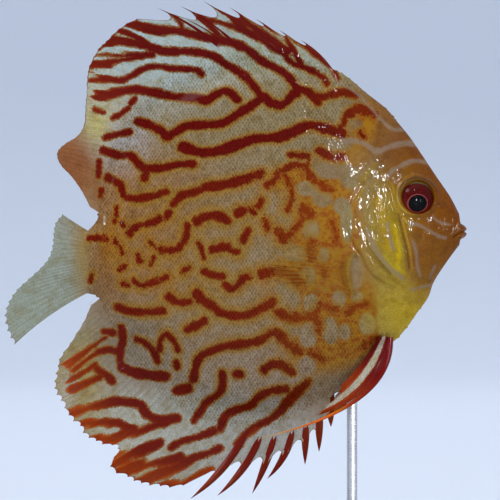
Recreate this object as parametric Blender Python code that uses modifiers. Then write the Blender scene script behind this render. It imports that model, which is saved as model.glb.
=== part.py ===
"""Discus fish: a still, life-size model of the whole fish, held over a flat base by one rod.

The fish looks along +X with its back up, and its right flank is on the side of -Y. Its plane of
symmetry is y = 0. Lengths are in metres. Outlines are given in columns and rows of the side view,
whose scale follows from the real length of the fish.
"""
import math

import bmesh
import bpy
import numpy as np
from mathutils import Vector

# Driving dimensions of the fish
FISH_LENGTH = 0.0974
BODY_THICKNESS = 0.0164
EDGE_THICKNESS = 0.0016
FLANK_POWER = 0.85
EYE_DIAMETER = 0.0072
EYE_DEPTH = 0.0046
EYE_BULGE = 0.0009
EYE_RIM_THICKNESS = 0.0009
GILL_COVER_THICKNESS = 0.0006
GILL_COVER_RAISE = 0.00035
GILL_RIDGE = 0.00025
SPINE_THICKNESS = 0.0011
BACK_SPINE_WIDTH = 0.0008
BELLY_SPINE_WIDTH = 0.0016
THREAD_WIDTH = 0.0009
FIN_ROOT_SHARE = 0.94
ROOT_FADE_SHARE = 0.4
TAIL_ROOT_SHARE = 0.9
SIDE_FIN_ROOT_THICKNESS = 0.0012
SIDE_FIN_CLEARANCE = 0.0004
RAY_THICKNESS = 0.0008
WEB_THICKNESS = 0.0005
TIP_THICKNESS = 0.0003
MOUTH_OPENING = 0.00025
NOSTRIL_DIAMETER = 0.0006
PECTORAL_LIFT = 0.07
PELVIC_SPREAD = 0.0025
PELVIC_SPLAY = 0.13
GAP = 0.0003

# Driving dimensions of the stand
BASE_LENGTH = 0.080
BASE_WIDTH = 0.048
BASE_HEIGHT = 0.006
BASE_ROUNDING = 0.0012
ROD_DIAMETER = 0.0022
ROD_SINK = 0.004
COLLAR_DIAMETER = 0.006
COLLAR_HEIGHT = 0.002
SPACE_UNDER_FINS = 0.006

# Columns and rows of the side view, and its scale
LIP_COLUMN = 467.0
TAIL_COLUMN = 4.0
LOWEST_ROW = 499.0
PIXEL = FISH_LENGTH / (LIP_COLUMN - TAIL_COLUMN)
MIDDLE_COLUMN = (LIP_COLUMN + TAIL_COLUMN) / 2
STALK_END_COLUMN = 88.0
STALK_CUT_COLUMN = 119.0
ROD_COLUMN = 352.0
DORSAL_START_COLUMN = 341.0
DORSAL_END_COLUMN = 98.0
ANAL_START_COLUMN = 336.0
ANAL_END_COLUMN = 98.0
EYE_CENTRE_PX = (417.0, 197.5)
NOSTRIL_PX = (439.0, 204.0)
MOUTH_FRONT_PX = (468.0, 231.0)
MOUTH_BACK_PX = (453.0, 236.0)

# Outline of the body without its fins, from the lips to the root of the tail fin
BACK_PX = [
    (467, 226), (460, 216), (450, 197), (437, 178), (423, 157), (410, 138), (397, 122), (386, 109),
    (367, 94), (342, 74), (310, 62), (280, 57), (245, 59), (210, 69), (175, 86), (145, 110),
    (123, 141), (108, 177), (101, 207), (97, 221), (88, 231),
]
BELLY_PX = [
    (467, 237), (459, 245), (447, 261), (434, 281), (428, 297), (416, 314), (401, 334), (385, 348),
    (368, 366), (352, 382), (335, 393), (315, 405), (290, 415), (255, 421), (225, 417), (190, 403),
    (155, 376), (128, 342), (110, 312), (98, 296), (88, 293),
]
# Thickness of the body along its length, as a share of the greatest
THICKNESS_SHARE = [
    (467, 0.17), (460, 0.29), (450, 0.40), (435, 0.55), (417, 0.70), (400, 0.81), (375, 0.92),
    (345, 0.99), (315, 1.00), (280, 0.97), (240, 0.88), (200, 0.75), (160, 0.58), (130, 0.45),
    (110, 0.36), (98, 0.31), (88, 0.28),
]
# Swellings of the head: column, row, reach in pixels and height in metres
SWELLINGS = [
    (462, 223, 4.5, 0.00045), (461, 239, 4.5, 0.00045), (437, 232, 14, 0.00030),
    (392, 214, 9, 0.00015),
]
# Border of head and trunk, hidden under the gill covers
NECK_PX = [
    (350, 40), (354, 100), (362, 150), (366, 190), (364, 218), (368, 245), (379, 268), (392, 283),
    (408, 291), (430, 294), (475, 288),
]
# Gill cover: its front edge and its free rear edge, both from top to bottom
GILL_FRONT_PX = [(384, 181), (392, 200), (400, 221), (407, 242), (411, 262), (410, 279), (405, 289)]
GILL_REAR_PX = [
    (373, 180), (362, 187), (352, 204), (345, 219), (347, 231), (353, 244), (361, 257), (366, 268),
    (374, 277), (385, 284), (398, 289),
]
# Tips of the fin rays, each fin from front to back
DORSAL_SPINE_TIPS_PX = [(301, 40), (279, 30), (256, 19), (229, 7), (203, 1), (180, 6), (157, 8)]
DORSAL_SPINE_BOWS = [-0.12] * len(DORSAL_SPINE_TIPS_PX)
DORSAL_RAY_TIPS_PX = [
    (135, 18), (118, 29), (106, 41), (98, 49), (89, 66), (87, 77), (86, 92), (85, 107), (84, 124),
    (77, 136), (66, 143), (58, 150), (57, 158), (62, 167), (70, 175), (77, 184), (84, 195),
    (90, 207),
]
ANAL_SPINE_TIPS_PX = [
    (331, 427), (319, 452), (305, 465), (267, 479), (252, 494), (217, 496), (190, 499),
]
ANAL_SPINE_BOWS = [0.0, 0.02, 0.0, 0.22, 0.07, 0.17, 0.14]
ANAL_RAY_TIPS_PX = [
    (178, 490), (159, 487), (140, 484), (126, 478), (108, 468), (117, 449), (101, 445), (87, 439),
    (78, 427), (67, 416), (60, 401), (53, 389), (55, 374), (58, 360), (69, 344), (82, 324),
    (91, 305),
]
TAIL_RAY_TIPS_PX = [
    (62, 214), (55, 223), (53, 234), (52, 246), (48, 258), (40, 268), (28, 279), (16, 290),
    (8, 302), (4, 316), (7, 331), (14, 345),
]
PECTORAL_ROOTS_PX = [(355, 253), (350, 263), (349, 275), (351, 286), (355, 295)]
PECTORAL_TIPS_PX = [
    (312, 243), (295, 245), (281, 250), (273, 258), (270, 267), (272, 276), (280, 284), (294, 289),
    (311, 292),
]
PELVIC_ROOTS_PX = [(389, 337), (384, 336), (378, 337)]
PELVIC_TIPS_PX = [(253, 438), (316, 412), (335, 397), (339, 386)]
PELVIC_BENDS_PX = [(393, 409), (372, 390), (364, 376), (362, 364)]

# Number of pieces that a surface is divided into
BODY_LEVELS = 16
RAY_ROWS = 6
COVER_ROWS = 12
COVER_COLUMNS = 8
RECESS_COLUMNS = 6

collection = None
cutters = None


def along(column):
    """The place along the fish of a column of the side view."""
    return (np.asarray(column, float) - MIDDLE_COLUMN) * PIXEL


def height(row):
    """The height over the floor of a row of the side view."""
    lowest = BASE_HEIGHT + SPACE_UNDER_FINS
    return lowest + (LOWEST_ROW - np.asarray(row, float)) * PIXEL


def place(points_px):
    """Points of the side view as x and z."""
    points_px = np.asarray(points_px, float)
    return np.stack([along(points_px[..., 0]), height(points_px[..., 1])], axis=-1)


def smooth(points, pieces=8):
    """A smooth line through the given points, with so many pieces between each two."""
    points = np.asarray(points, float)
    ends = [2 * points[0] - points[1], 2 * points[-1] - points[-2]]
    padded = np.vstack([ends[0], points, ends[1]])
    line = []
    for index in range(len(points) - 1):
        before, start, end, after = padded[index:index + 4]
        for t in np.arange(pieces) / pieces:
            line.append(0.5 * (
                2 * start + (end - before) * t
                + (2 * before - 5 * start + 4 * end - after) * t ** 2
                + (3 * start - before - 3 * end + after) * t ** 3
            ))
    line.append(points[-1])
    return np.array(line)


def on_line(line, share):
    """The point at a share of the length of a line."""
    steps = np.linalg.norm(np.diff(line, axis=0), axis=1)
    length = np.concatenate([[0], np.cumsum(steps)])
    where = np.asarray(share) * length[-1]
    return np.stack([np.interp(where, length, line[:, axis]) for axis in (0, 1)], axis=-1)


def beside(line, distance):
    """The line moved sideways by a distance, to the left of its own direction."""
    direction = np.gradient(line, axis=0)
    direction /= np.linalg.norm(direction, axis=1)[:, None]
    left = np.stack([-direction[:, 1], direction[:, 0]], axis=1)
    return line + left * distance


BACK = smooth(place(BACK_PX))
BELLY = smooth(place(BELLY_PX))
WIDTH = smooth([(along(column), share * BODY_THICKNESS / 2) for column, share in THICKNESS_SHARE])


def stretch(line, from_column, to_column):
    """The part of a line between two columns, the first nearer to the lips."""
    inside = (line[:, 0] <= along(from_column)) & (line[:, 0] >= along(to_column))
    return line[inside]


def read(line, x):
    """The second coordinate of a line that runs from the lips to the tail, at x."""
    return np.interp(x, line[::-1, 0], line[::-1, 1])


def flank(x, z):
    """How far the flank lies from the plane of symmetry at a place of the side view."""
    top = read(BACK, x)
    bottom = read(BELLY, x)
    level = np.clip((2 * z - top - bottom) / (top - bottom), -1, 1)
    edge = EDGE_THICKNESS / 2
    half = edge + (read(WIDTH, x) - edge) * (1 - level ** 2) ** FLANK_POWER
    for column, row, reach, rise in SWELLINGS:
        far = np.hypot(x - along(column), z - height(row)) / (reach * PIXEL)
        half = half + rise * np.exp(-far ** 2)
    return half


def flank_normal(x, z, side):
    """The outward direction of the flank on one side."""
    step = 0.0005
    slope_x = (flank(x + step, z) - flank(x - step, z)) / (2 * step)
    slope_z = (flank(x, z + step) - flank(x, z - step)) / (2 * step)
    return Vector((-slope_x, side, -slope_z)).normalized()


def material(name, colour, roughness, metallic=0.0):
    """A plain material with one colour."""
    made = bpy.data.materials.new(name)
    made.use_nodes = True
    shader = made.node_tree.nodes["Principled BSDF"]
    shader.inputs["Base Color"].default_value = (*colour, 1.0)
    shader.inputs["Roughness"].default_value = roughness
    shader.inputs["Metallic"].default_value = metallic
    return made


def keep(item, into, finish=None):
    """Put an object into a collection, with one material."""
    for other in list(item.users_collection):
        other.objects.unlink(item)
    into.objects.link(item)
    if finish is not None:
        item.data.materials.clear()
        item.data.materials.append(finish)
    if into is not collection:
        item.hide_render = True
        item.display_type = "WIRE"
    return item


def solid(name, points, faces, origin, into, finish=None):
    """A closed mesh object with its faces out and its own origin."""
    mesh = bpy.data.meshes.new(name)
    origin = Vector(origin)
    mesh.from_pydata([Vector(point) - origin for point in points], [], faces)
    work = bmesh.new()
    work.from_mesh(mesh)
    if work.calc_volume(signed=True) < 0:
        bmesh.ops.reverse_faces(work, faces=work.faces)
    work.to_mesh(mesh)
    work.free()
    made = bpy.data.objects.new(name, mesh)
    made.location = origin
    mesh.shade_smooth()
    mesh.set_sharp_from_angle(angle=math.radians(50))
    return keep(made, into, finish)


def loft(rings):
    """Points and faces of a closed body through rings of equally many points."""
    count = len(rings[0])
    faces = [tuple(reversed(range(count)))]
    for ring in range(len(rings) - 1):
        for index in range(count):
            after = (index + 1) % count
            start = ring * count
            faces.append((start + index, start + after, start + count + after, start + count + index))
    last = (len(rings) - 1) * count
    faces.append(tuple(last + index for index in range(count)))
    return [tuple(point) for ring in rings for point in ring], faces


def body_ring(x):
    """One section of the body, down the right flank and up the left one."""
    top = read(BACK, x)
    bottom = read(BELLY, x)
    levels = np.cos(np.linspace(0, math.pi, BODY_LEVELS + 1))
    heights = (top + bottom) / 2 + levels * (top - bottom) / 2
    right = [(x, -flank(x, z), z) for z in heights]
    left = [(x, flank(x, z), z) for z in heights[::-1]]
    return right + left


def body_part(name, finish, region, origin):
    """The part of the body that lies in one region of the side view."""
    columns = np.concatenate([
        np.arange(LIP_COLUMN, 345, -4.0),
        np.arange(343, 135, -10.0),
        np.arange(131, STALK_END_COLUMN, -3.5),
        [STALK_END_COLUMN],
    ])
    rings = [body_ring(x) for x in along(columns)]
    points, faces = loft(rings)
    made = solid(name, points, faces, origin, collection, finish)
    sides = [[(x, y, z) for x, z in region] for y in (-BODY_THICKNESS, BODY_THICKNESS)]
    cutter = solid("region_of_" + name, *loft(sides), (0, 0, 0), cutters)
    boolean(made, "region", cutter, "INTERSECT")
    return made


def boolean(item, name, cutter, operation):
    """Cut an object with another one."""
    change = item.modifiers.new(name, "BOOLEAN")
    change.operation = operation
    change.object = cutter
    return change


def leaf(front, rear, rows, columns):
    """Points of a leaf-shaped patch of the side view, between its two edges."""
    grid = []
    for share in np.linspace(0, 1, rows + 1):
        start = on_line(front, share)
        end = on_line(rear, share)
        grid.append([start + (end - start) * t for t in np.linspace(0, 1, columns + 1)])
    return np.array(grid)


def plate(name, grid, inner, outer, side, into, finish=None):
    """A closed plate over a patch of the side view, between two distances from the middle."""
    rows, columns = grid.shape[:2]
    points = []
    faces = []
    for depth in (inner, outer):
        for row in range(rows):
            for column in range(columns):
                x, z = grid[row, column]
                points.append((x, side * depth(x, z, row / (rows - 1), column / (columns - 1)), z))
    layer = rows * columns

    def number(row, column):
        return row * columns + column

    for row in range(rows - 1):
        for column in range(columns - 1):
            face = [number(row, column), number(row, column + 1), number(row + 1, column + 1),
                    number(row + 1, column)]
            faces.append(face)
            faces.append([corner + layer for corner in reversed(face)])
    rim = [number(0, column) for column in range(columns)]
    rim += [number(row, columns - 1) for row in range(1, rows)]
    rim += [number(rows - 1, column) for column in reversed(range(columns - 1))]
    rim += [number(row, 0) for row in reversed(range(1, rows - 1))]
    for start, end in zip(rim, rim[1:] + rim[:1]):
        faces.append([end, start, start + layer, end + layer])
    x, z = grid[rows // 2, columns // 2]
    return solid(name, points, faces, (x, side * flank(x, z), z), into, finish)


def gill_cover(name, side, finish):
    """The movable plate over the gills, and the recess that it lies in."""
    front = smooth(place(GILL_FRONT_PX))
    rear = smooth(place(GILL_REAR_PX))

    def inner(x, z, down, back):
        return flank(x, z) - GILL_COVER_THICKNESS

    def outer(x, z, down, back):
        ridge = GILL_RIDGE * math.exp(-((back - 0.3) / 0.1) ** 2) * math.sin(math.pi * down)
        return flank(x, z) + GILL_COVER_RAISE * min(1, 0.3 + 2 * back) + ridge

    cover = leaf(front, rear, COVER_ROWS, COVER_COLUMNS)
    plate(name, cover, inner, outer, side, collection, finish)

    def floor(x, z, down, back):
        return flank(x, z) - GILL_COVER_THICKNESS - GAP

    def outside(x, z, down, back):
        return BODY_THICKNESS

    room = 1.5 * GAP
    wide_front = beside(front, room)
    wide_rear = beside(rear, -room)
    for line, end in ((wide_front, 0), (wide_rear, 0)):
        line[end, 1] += room
        line[-1, 1] -= room
    recess = leaf(wide_front, wide_rear, COVER_ROWS, RECESS_COLUMNS)
    return plate("recess_of_" + name, recess, floor, outside, side, cutters)


def eye(name, side, finish, grow=0.0, into=None):
    """A flattened eyeball, set square to the flank."""
    x, z = place(EYE_CENTRE_PX)
    outward = flank_normal(x, z, side)
    surface = Vector((x, side * flank(x, z), z))
    centre = surface + outward * (EYE_BULGE - EYE_DEPTH / 2)
    bpy.ops.mesh.primitive_uv_sphere_add(segments=20, ring_count=10, radius=1.0)
    made = bpy.context.object
    made.name = name
    made.data.name = name
    radius = EYE_DIAMETER / 2 + grow
    for vertex in made.data.vertices:
        vertex.co = Vector((vertex.co.x * radius, vertex.co.y * radius,
                            vertex.co.z * (EYE_DEPTH / 2 + grow)))
    made.rotation_mode = "QUATERNION"
    made.rotation_quaternion = Vector((0, 0, 1)).rotation_difference(outward)
    made.location = centre
    made.data.shade_smooth()
    return keep(made, into or collection, finish)


def eye_rim(side):
    """The low fold of skin round the eyeball."""
    x, z = place(EYE_CENTRE_PX)
    outward = flank_normal(x, z, side)
    reach = EYE_DIAMETER / 2 + GAP + 0.35 * EYE_RIM_THICKNESS
    bpy.ops.mesh.primitive_torus_add(
        major_segments=24, minor_segments=6, major_radius=reach, minor_radius=EYE_RIM_THICKNESS / 2,
    )
    made = bpy.context.object
    made.name = "eye_rim"
    made.rotation_mode = "QUATERNION"
    made.rotation_quaternion = Vector((0, 0, 1)).rotation_difference(outward)
    made.location = Vector((x, side * flank(x, z), z)) - outward * 0.25 * EYE_RIM_THICKNESS
    made.data.shade_smooth()
    return keep(made, cutters)


def mouth_cutter():
    """A thin wedge that opens the line between the lips."""
    front_x, front_z = place(MOUTH_FRONT_PX)
    back_x, back_z = place(MOUTH_BACK_PX)
    wide = BODY_THICKNESS / 2
    section = [
        (front_x, front_z + MOUTH_OPENING), (front_x, front_z - MOUTH_OPENING),
        (back_x, back_z - MOUTH_OPENING / 3), (back_x, back_z + MOUTH_OPENING / 3),
    ]
    rings = [[(x, y, z) for x, z in section] for y in (-wide, wide)]
    return solid("mouth_line", *loft(rings), (0, 0, 0), cutters)


def nostril_cutter(side):
    """A small pit in the snout."""
    x, z = place(NOSTRIL_PX)
    outward = flank_normal(x, z, side)
    bpy.ops.mesh.primitive_cylinder_add(vertices=10, radius=NOSTRIL_DIAMETER / 2, depth=0.0016)
    made = bpy.context.object
    made.name = "nostril_pit"
    made.rotation_mode = "QUATERNION"
    made.rotation_quaternion = Vector((0, 0, 1)).rotation_difference(outward)
    made.location = Vector((x, side * flank(x, z), z))
    return keep(made, cutters)


class Sheet:
    """A thin flat form in the side view that is given a thickness at each of its points."""

    def __init__(self):
        self.points = []
        self.halves = []
        self.faces = []

    def point(self, place_xz, half):
        self.points.append(np.asarray(place_xz, float))
        self.halves.append(half)
        return len(self.points) - 1

    def strip(self, first, second):
        """Faces between two columns of points."""
        for row in range(min(len(first), len(second)) - 1):
            corners = [first[row], second[row], second[row + 1], first[row + 1]]
            self.faces.append([corner for index, corner in enumerate(corners)
                               if corner != corners[index - 1]])

    def solid(self, name, middle, origin, finish):
        """The closed form, whose middle surface lies at the given y."""
        count = len(self.points)
        points = []
        for sign in (-1, 1):
            for (x, z), half in zip(self.points, self.halves):
                points.append((x, middle(x, z, half) + sign * half, z))
        faces = [list(face) for face in self.faces]
        faces += [[corner + count for corner in reversed(face)] for face in self.faces]
        seen = {}
        for face in self.faces:
            for start, end in zip(face, face[1:] + face[:1]):
                seen[(start, end)] = True
        for start, end in seen:
            if (end, start) not in seen:
                faces.append([end, start, start + count, end + count])
        return solid(name, points, faces, origin, collection, finish)


def bow(root, tip, bend):
    """The control point of a ray that bows sideways by a share of its length."""
    chord = np.subtract(tip, root)
    return np.add(root, tip) / 2 + np.array([-chord[1], chord[0]]) * bend


def ray_curve(root, control, tip, power=1.0):
    """A bent ray: for each row a point and the sideways direction there."""
    root = np.asarray(root, float)
    tip = np.asarray(tip, float)

    def at(row):
        v = (row / RAY_ROWS) ** power
        point = root * (1 - v) ** 2 + 2 * control * v * (1 - v) + tip * v ** 2
        direction = 2 * (control - root) * (1 - v) + 2 * (tip - control) * v
        sideways = np.array([-direction[1], direction[0]]) / np.linalg.norm(direction)
        return point, sideways

    return at


def fade(row):
    """From one at the root of a fin to nothing a part of the way out."""
    return max(0.0, 1 - row / (ROOT_FADE_SHARE * RAY_ROWS)) ** 2


def fin(name, finish, rays, root_half, middle, origin):
    """A fin from its rays; each has a curve, its width and the last row of the web behind it.

    A ray without a width is a ridge of the web, and one with a width stands free past the web.
    """
    sheet = Sheet()
    before = None
    roots = np.array([curve(0)[0] for curve, width, web_rows in rays])
    forwards = -np.gradient(roots, axis=0)
    for (curve, width, web_rows), forward in zip(rays, forwards):
        is_spine = width > 0
        thick = SPINE_THICKNESS if is_spine else RAY_THICKNESS
        rows = np.arange(RAY_ROWS + 1)
        crest = []
        sides = ([], [])
        for row in rows:
            point, sideways = curve(row)
            sideways = sideways * np.sign(np.dot(sideways, forward))
            if row == 0:
                sideways = forward / np.linalg.norm(forward)
            taper = row / RAY_ROWS
            half = (thick + (TIP_THICKNESS - thick) * taper ** 2) / 2
            root = root_half(*point)
            half += max(0, root - half) * fade(row)
            if not is_spine:
                half = max(half, WEB_THICKNESS / 2)
            crest.append(sheet.point(point, half))
            if is_spine:
                if row == RAY_ROWS:
                    sides[0].append(crest[-1])
                    sides[1].append(crest[-1])
                    continue
                reach = width / 2 * (1 - taper ** 1.5)
                web = WEB_THICKNESS / 2 + max(0, root - WEB_THICKNESS / 2) * fade(row)
                web = min(web, half)
                sides[0].append(sheet.point(point + sideways * reach, web))
                sides[1].append(sheet.point(point - sideways * reach, web))
        if is_spine:
            sheet.strip(sides[0], crest)
            sheet.strip(crest, sides[1])
        first = sides[0] if is_spine else crest
        if before is not None:
            last, limit = before
            web_column = []
            for row in range(limit + 1):
                start = sheet.points[last[row]]
                end = sheet.points[first[row]]
                point = (start + end) / 2
                if row == limit and row > 0:
                    inner = (sheet.points[last[row - 1]] + sheet.points[first[row - 1]]) / 2
                    point = point + (inner - point) * (0.12 if limit == RAY_ROWS else 0.35)
                root = root_half(*point)
                half = WEB_THICKNESS / 2 + max(0, root - WEB_THICKNESS / 2) * fade(row)
                web_column.append(sheet.point(point, half))
            sheet.strip(last[:limit + 1], web_column)
            sheet.strip(web_column, first[:limit + 1])
        before = (sides[1] if is_spine else crest, web_rows)
    return sheet.solid(name, middle, origin, finish)


def median_fin(name, finish, base, spine_tips, ray_tips, bows, ray_bow, width, spine_web_rows, crowding):
    """The fin along the back or the belly."""
    tips = place(spine_tips + ray_tips)
    shares = 1 - (1 - np.linspace(0, 1, len(tips))) ** crowding
    roots = on_line(base, 0.01 + 0.98 * shares)
    rays = []
    for index, (root, tip) in enumerate(zip(roots, tips)):
        is_spine = index < len(spine_tips)
        control = bow(root, tip, bows[index] if is_spine else ray_bow)
        web_rows = spine_web_rows if is_spine else RAY_ROWS
        rays.append((ray_curve(root, control, tip), width if is_spine else 0, web_rows))
    half = FIN_ROOT_SHARE * EDGE_THICKNESS / 2

    def root_half(x, z):
        return half

    def middle(x, z, half_here):
        return 0.0

    x, z = on_line(base, 0.5)
    return fin(name, finish, rays, root_half, middle, (x, 0, z))


def tail_fin(finish):
    """The tail fin, whose rays spread from the end of the tail stalk."""
    x = along(STALK_END_COLUMN) - GAP
    top = read(BACK, along(STALK_END_COLUMN)) - GAP
    bottom = read(BELLY, along(STALK_END_COLUMN)) + GAP
    tips = place(TAIL_RAY_TIPS_PX)
    rays = []
    for index, tip in enumerate(tips):
        share = index / (len(tips) - 1)
        root = (x, top + (bottom - top) * share)
        rays.append((ray_curve(root, bow(root, tip, 0.02 - 0.10 * share), tip), 0, RAY_ROWS))

    def root_half(at_x, at_z):
        return TAIL_ROOT_SHARE * flank(along(STALK_END_COLUMN), at_z)

    def middle(at_x, at_z, half_here):
        return 0.0

    return fin("tail_fin", finish, rays, root_half, middle, (x, 0, (top + bottom) / 2))


def pectoral_fin(name, side, finish):
    """The fin behind the gill cover, folded back along the flank."""
    roots_line = smooth(place(PECTORAL_ROOTS_PX))
    tips = place(PECTORAL_TIPS_PX)
    rays = []
    for index, tip in enumerate(tips):
        share = index / (len(tips) - 1)
        root = on_line(roots_line, share)
        rays.append((ray_curve(root, bow(root, tip, 0.04 * (0.5 - share)), tip), 0, RAY_ROWS))
    x, z = on_line(roots_line, 0.5)

    def root_half(at_x, at_z):
        return SIDE_FIN_ROOT_THICKNESS / 2

    def middle(at_x, at_z, half_here):
        lift = PECTORAL_LIFT * max(0, x - at_x)
        return side * (flank(at_x, at_z) + SIDE_FIN_CLEARANCE + half_here + lift)

    return fin(name, finish, rays, root_half, middle, (x, side * flank(x, z), z))


def pelvic_fin(name, side, finish):
    """The narrow fin of the belly, whose first ray ends in a long thread."""
    roots_line = smooth(place(PELVIC_ROOTS_PX))
    tips = place(PELVIC_TIPS_PX)
    controls = place(PELVIC_BENDS_PX)
    powers = (1.5, 1.1, 1.0, 1.0)
    rays = []
    for index, tip in enumerate(tips):
        root = on_line(roots_line, index / (len(tips) - 1))
        width = THREAD_WIDTH if index == 0 else 0
        web_rows = RAY_ROWS - 1 if index == 0 else RAY_ROWS
        rays.append((ray_curve(root, controls[index], tip, powers[index]), width, web_rows))
    x, z = on_line(roots_line, 0.5)

    def root_half(at_x, at_z):
        return SIDE_FIN_ROOT_THICKNESS / 2

    def middle(at_x, at_z, half_here):
        away = math.hypot(at_x - x, at_z - z)
        clear = flank(at_x, at_z) + SIDE_FIN_CLEARANCE + half_here
        return side * max(clear, PELVIC_SPREAD + PELVIC_SPLAY * away)

    return fin(name, finish, rays, root_half, middle, (x, side * flank(x, z), z))


def stand(base_finish, rod_finish):
    """A flat oval base and one rod with a collar at its foot."""
    bpy.ops.mesh.primitive_cylinder_add(vertices=48, radius=1.0, depth=BASE_HEIGHT)
    base = bpy.context.object
    base.name = "stand_base"
    for vertex in base.data.vertices:
        vertex.co.x *= BASE_LENGTH / 2
        vertex.co.y *= BASE_WIDTH / 2
    base.location = (0, 0, BASE_HEIGHT / 2)
    rounding = base.modifiers.new("rounding", "BEVEL")
    rounding.width = BASE_ROUNDING
    rounding.segments = 2
    rounding.limit_method = "ANGLE"
    rounding.angle_limit = math.radians(40)
    keep(base, collection, base_finish)

    x = along(ROD_COLUMN)
    foot = BASE_HEIGHT + GAP
    top = read(BELLY, x) + ROD_SINK
    profile = [
        (0, top), (ROD_DIAMETER / 2, top), (ROD_DIAMETER / 2, foot + COLLAR_HEIGHT),
        (COLLAR_DIAMETER / 2, foot + COLLAR_HEIGHT * 0.6), (COLLAR_DIAMETER / 2, foot), (0, foot),
    ]
    mesh = bpy.data.meshes.new("stand_rod")
    edges = [(index, index + 1) for index in range(len(profile) - 1)]
    mesh.from_pydata([(radius, 0, z - foot) for radius, z in profile], edges, [])
    rod = bpy.data.objects.new("stand_rod", mesh)
    rod.location = (x, 0, foot)
    turn = rod.modifiers.new("turn", "SCREW")
    turn.steps = 20
    turn.render_steps = 20
    turn.use_merge_vertices = True
    turn.merge_threshold = 0.00001
    keep(rod, collection, rod_finish)
    bpy.ops.mesh.primitive_cylinder_add(vertices=20, radius=ROD_DIAMETER / 2 + GAP, depth=2 * ROD_SINK)
    hole = bpy.context.object
    hole.name = "hole_of_rod"
    hole.location = (x, 0, top + GAP - ROD_SINK)
    return keep(hole, cutters)


def regions():
    """Outlines of head, trunk and tail stalk in the side view, with a gap between them."""
    neck = smooth(place(NECK_PX))
    front = beside(neck, GAP / 2)
    rear = beside(neck, -GAP / 2)
    high = neck[0, 1]
    low = height(LOWEST_ROW)
    ahead = neck[-1, 0] + 0.004
    cut = along(STALK_CUT_COLUMN)
    behind = along(STALK_END_COLUMN) - 0.004
    head = [tuple(point) for point in front] + [(ahead, front[-1, 1]), (ahead, high)]
    trunk = [tuple(point) for point in rear]
    trunk += [(rear[-1, 0], low), (cut + GAP / 2, low), (cut + GAP / 2, high)]
    stalk = [(behind, high), (behind, low), (cut - GAP / 2, low), (cut - GAP / 2, high)]
    return head, trunk, stalk


def main():
    """Build the whole model."""
    global collection, cutters
    for old in list(bpy.data.objects):
        bpy.data.objects.remove(old, do_unlink=True)
    collection = bpy.data.collections.new("discus_fish")
    cutters = bpy.data.collections.new("cutters")
    for group in (collection, cutters):
        bpy.context.scene.collection.children.link(group)

    skin = material("skin", (0.55, 0.42, 0.16), 0.35)
    face = material("face", (0.42, 0.20, 0.02), 0.35)
    cover = material("gill_cover", (0.50, 0.36, 0.03), 0.3)
    fins = material("fins", (0.45, 0.10, 0.04), 0.4)
    eyes = material("eyes", (0.25, 0.01, 0.01), 0.1)
    wood = material("stand_wood", (0.12, 0.06, 0.03), 0.5)
    steel = material("stand_steel", (0.6, 0.6, 0.6), 0.3, 1.0)

    hole = stand(wood, steel)
    head_region, trunk_region, stalk_region = regions()
    eye_x, eye_z = place(EYE_CENTRE_PX)
    head = body_part("head", face, head_region, (eye_x, 0, eye_z))
    trunk = body_part("trunk", skin, trunk_region, (0, 0, height(240)))
    body_part("tail_stalk", skin, stalk_region, (along(STALK_CUT_COLUMN), 0, height(260)))
    boolean(trunk, "rod", hole, "DIFFERENCE")
    boolean(head, "mouth", mouth_cutter(), "DIFFERENCE")
    for word, side in (("right", -1), ("left", 1)):
        recess = gill_cover("gill_cover_" + word, side, cover)
        boolean(head, "gill_" + word, recess, "DIFFERENCE")
        boolean(trunk, "gill_" + word, recess, "DIFFERENCE")
        eye("eye_" + word, side, eyes)
        boolean(head, "eye_rim_" + word, eye_rim(side), "UNION")
        socket = eye("socket_" + word, side, None, GAP, cutters)
        boolean(head, "socket_" + word, socket, "DIFFERENCE")
        boolean(head, "nostril_" + word, nostril_cutter(side), "DIFFERENCE")
        pectoral_fin("pectoral_fin_" + word, side, fins)
        pelvic_fin("pelvic_fin_" + word, side, fins)

    back_base = stretch(BACK, DORSAL_START_COLUMN, DORSAL_END_COLUMN)
    median_fin("dorsal_fin", fins, beside(back_base, -GAP), DORSAL_SPINE_TIPS_PX, DORSAL_RAY_TIPS_PX,
               DORSAL_SPINE_BOWS, -0.05, BACK_SPINE_WIDTH, 5, 1.3)
    belly_base = stretch(BELLY, ANAL_START_COLUMN, ANAL_END_COLUMN)
    median_fin("anal_fin", fins, beside(belly_base, GAP), ANAL_SPINE_TIPS_PX, ANAL_RAY_TIPS_PX,
               ANAL_SPINE_BOWS, 0.08, BELLY_SPINE_WIDTH, 3, 1.12)
    tail_fin(fins)


main()
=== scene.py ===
"""Looks of the discus fish: a wet, scaled skin, fine fins, red eyes and the finish of its stand.

The fish looks along +X with its back up. Places on it are given in columns and rows of the side
view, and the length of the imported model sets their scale. Other lengths are in metres.
"""

import math

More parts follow.
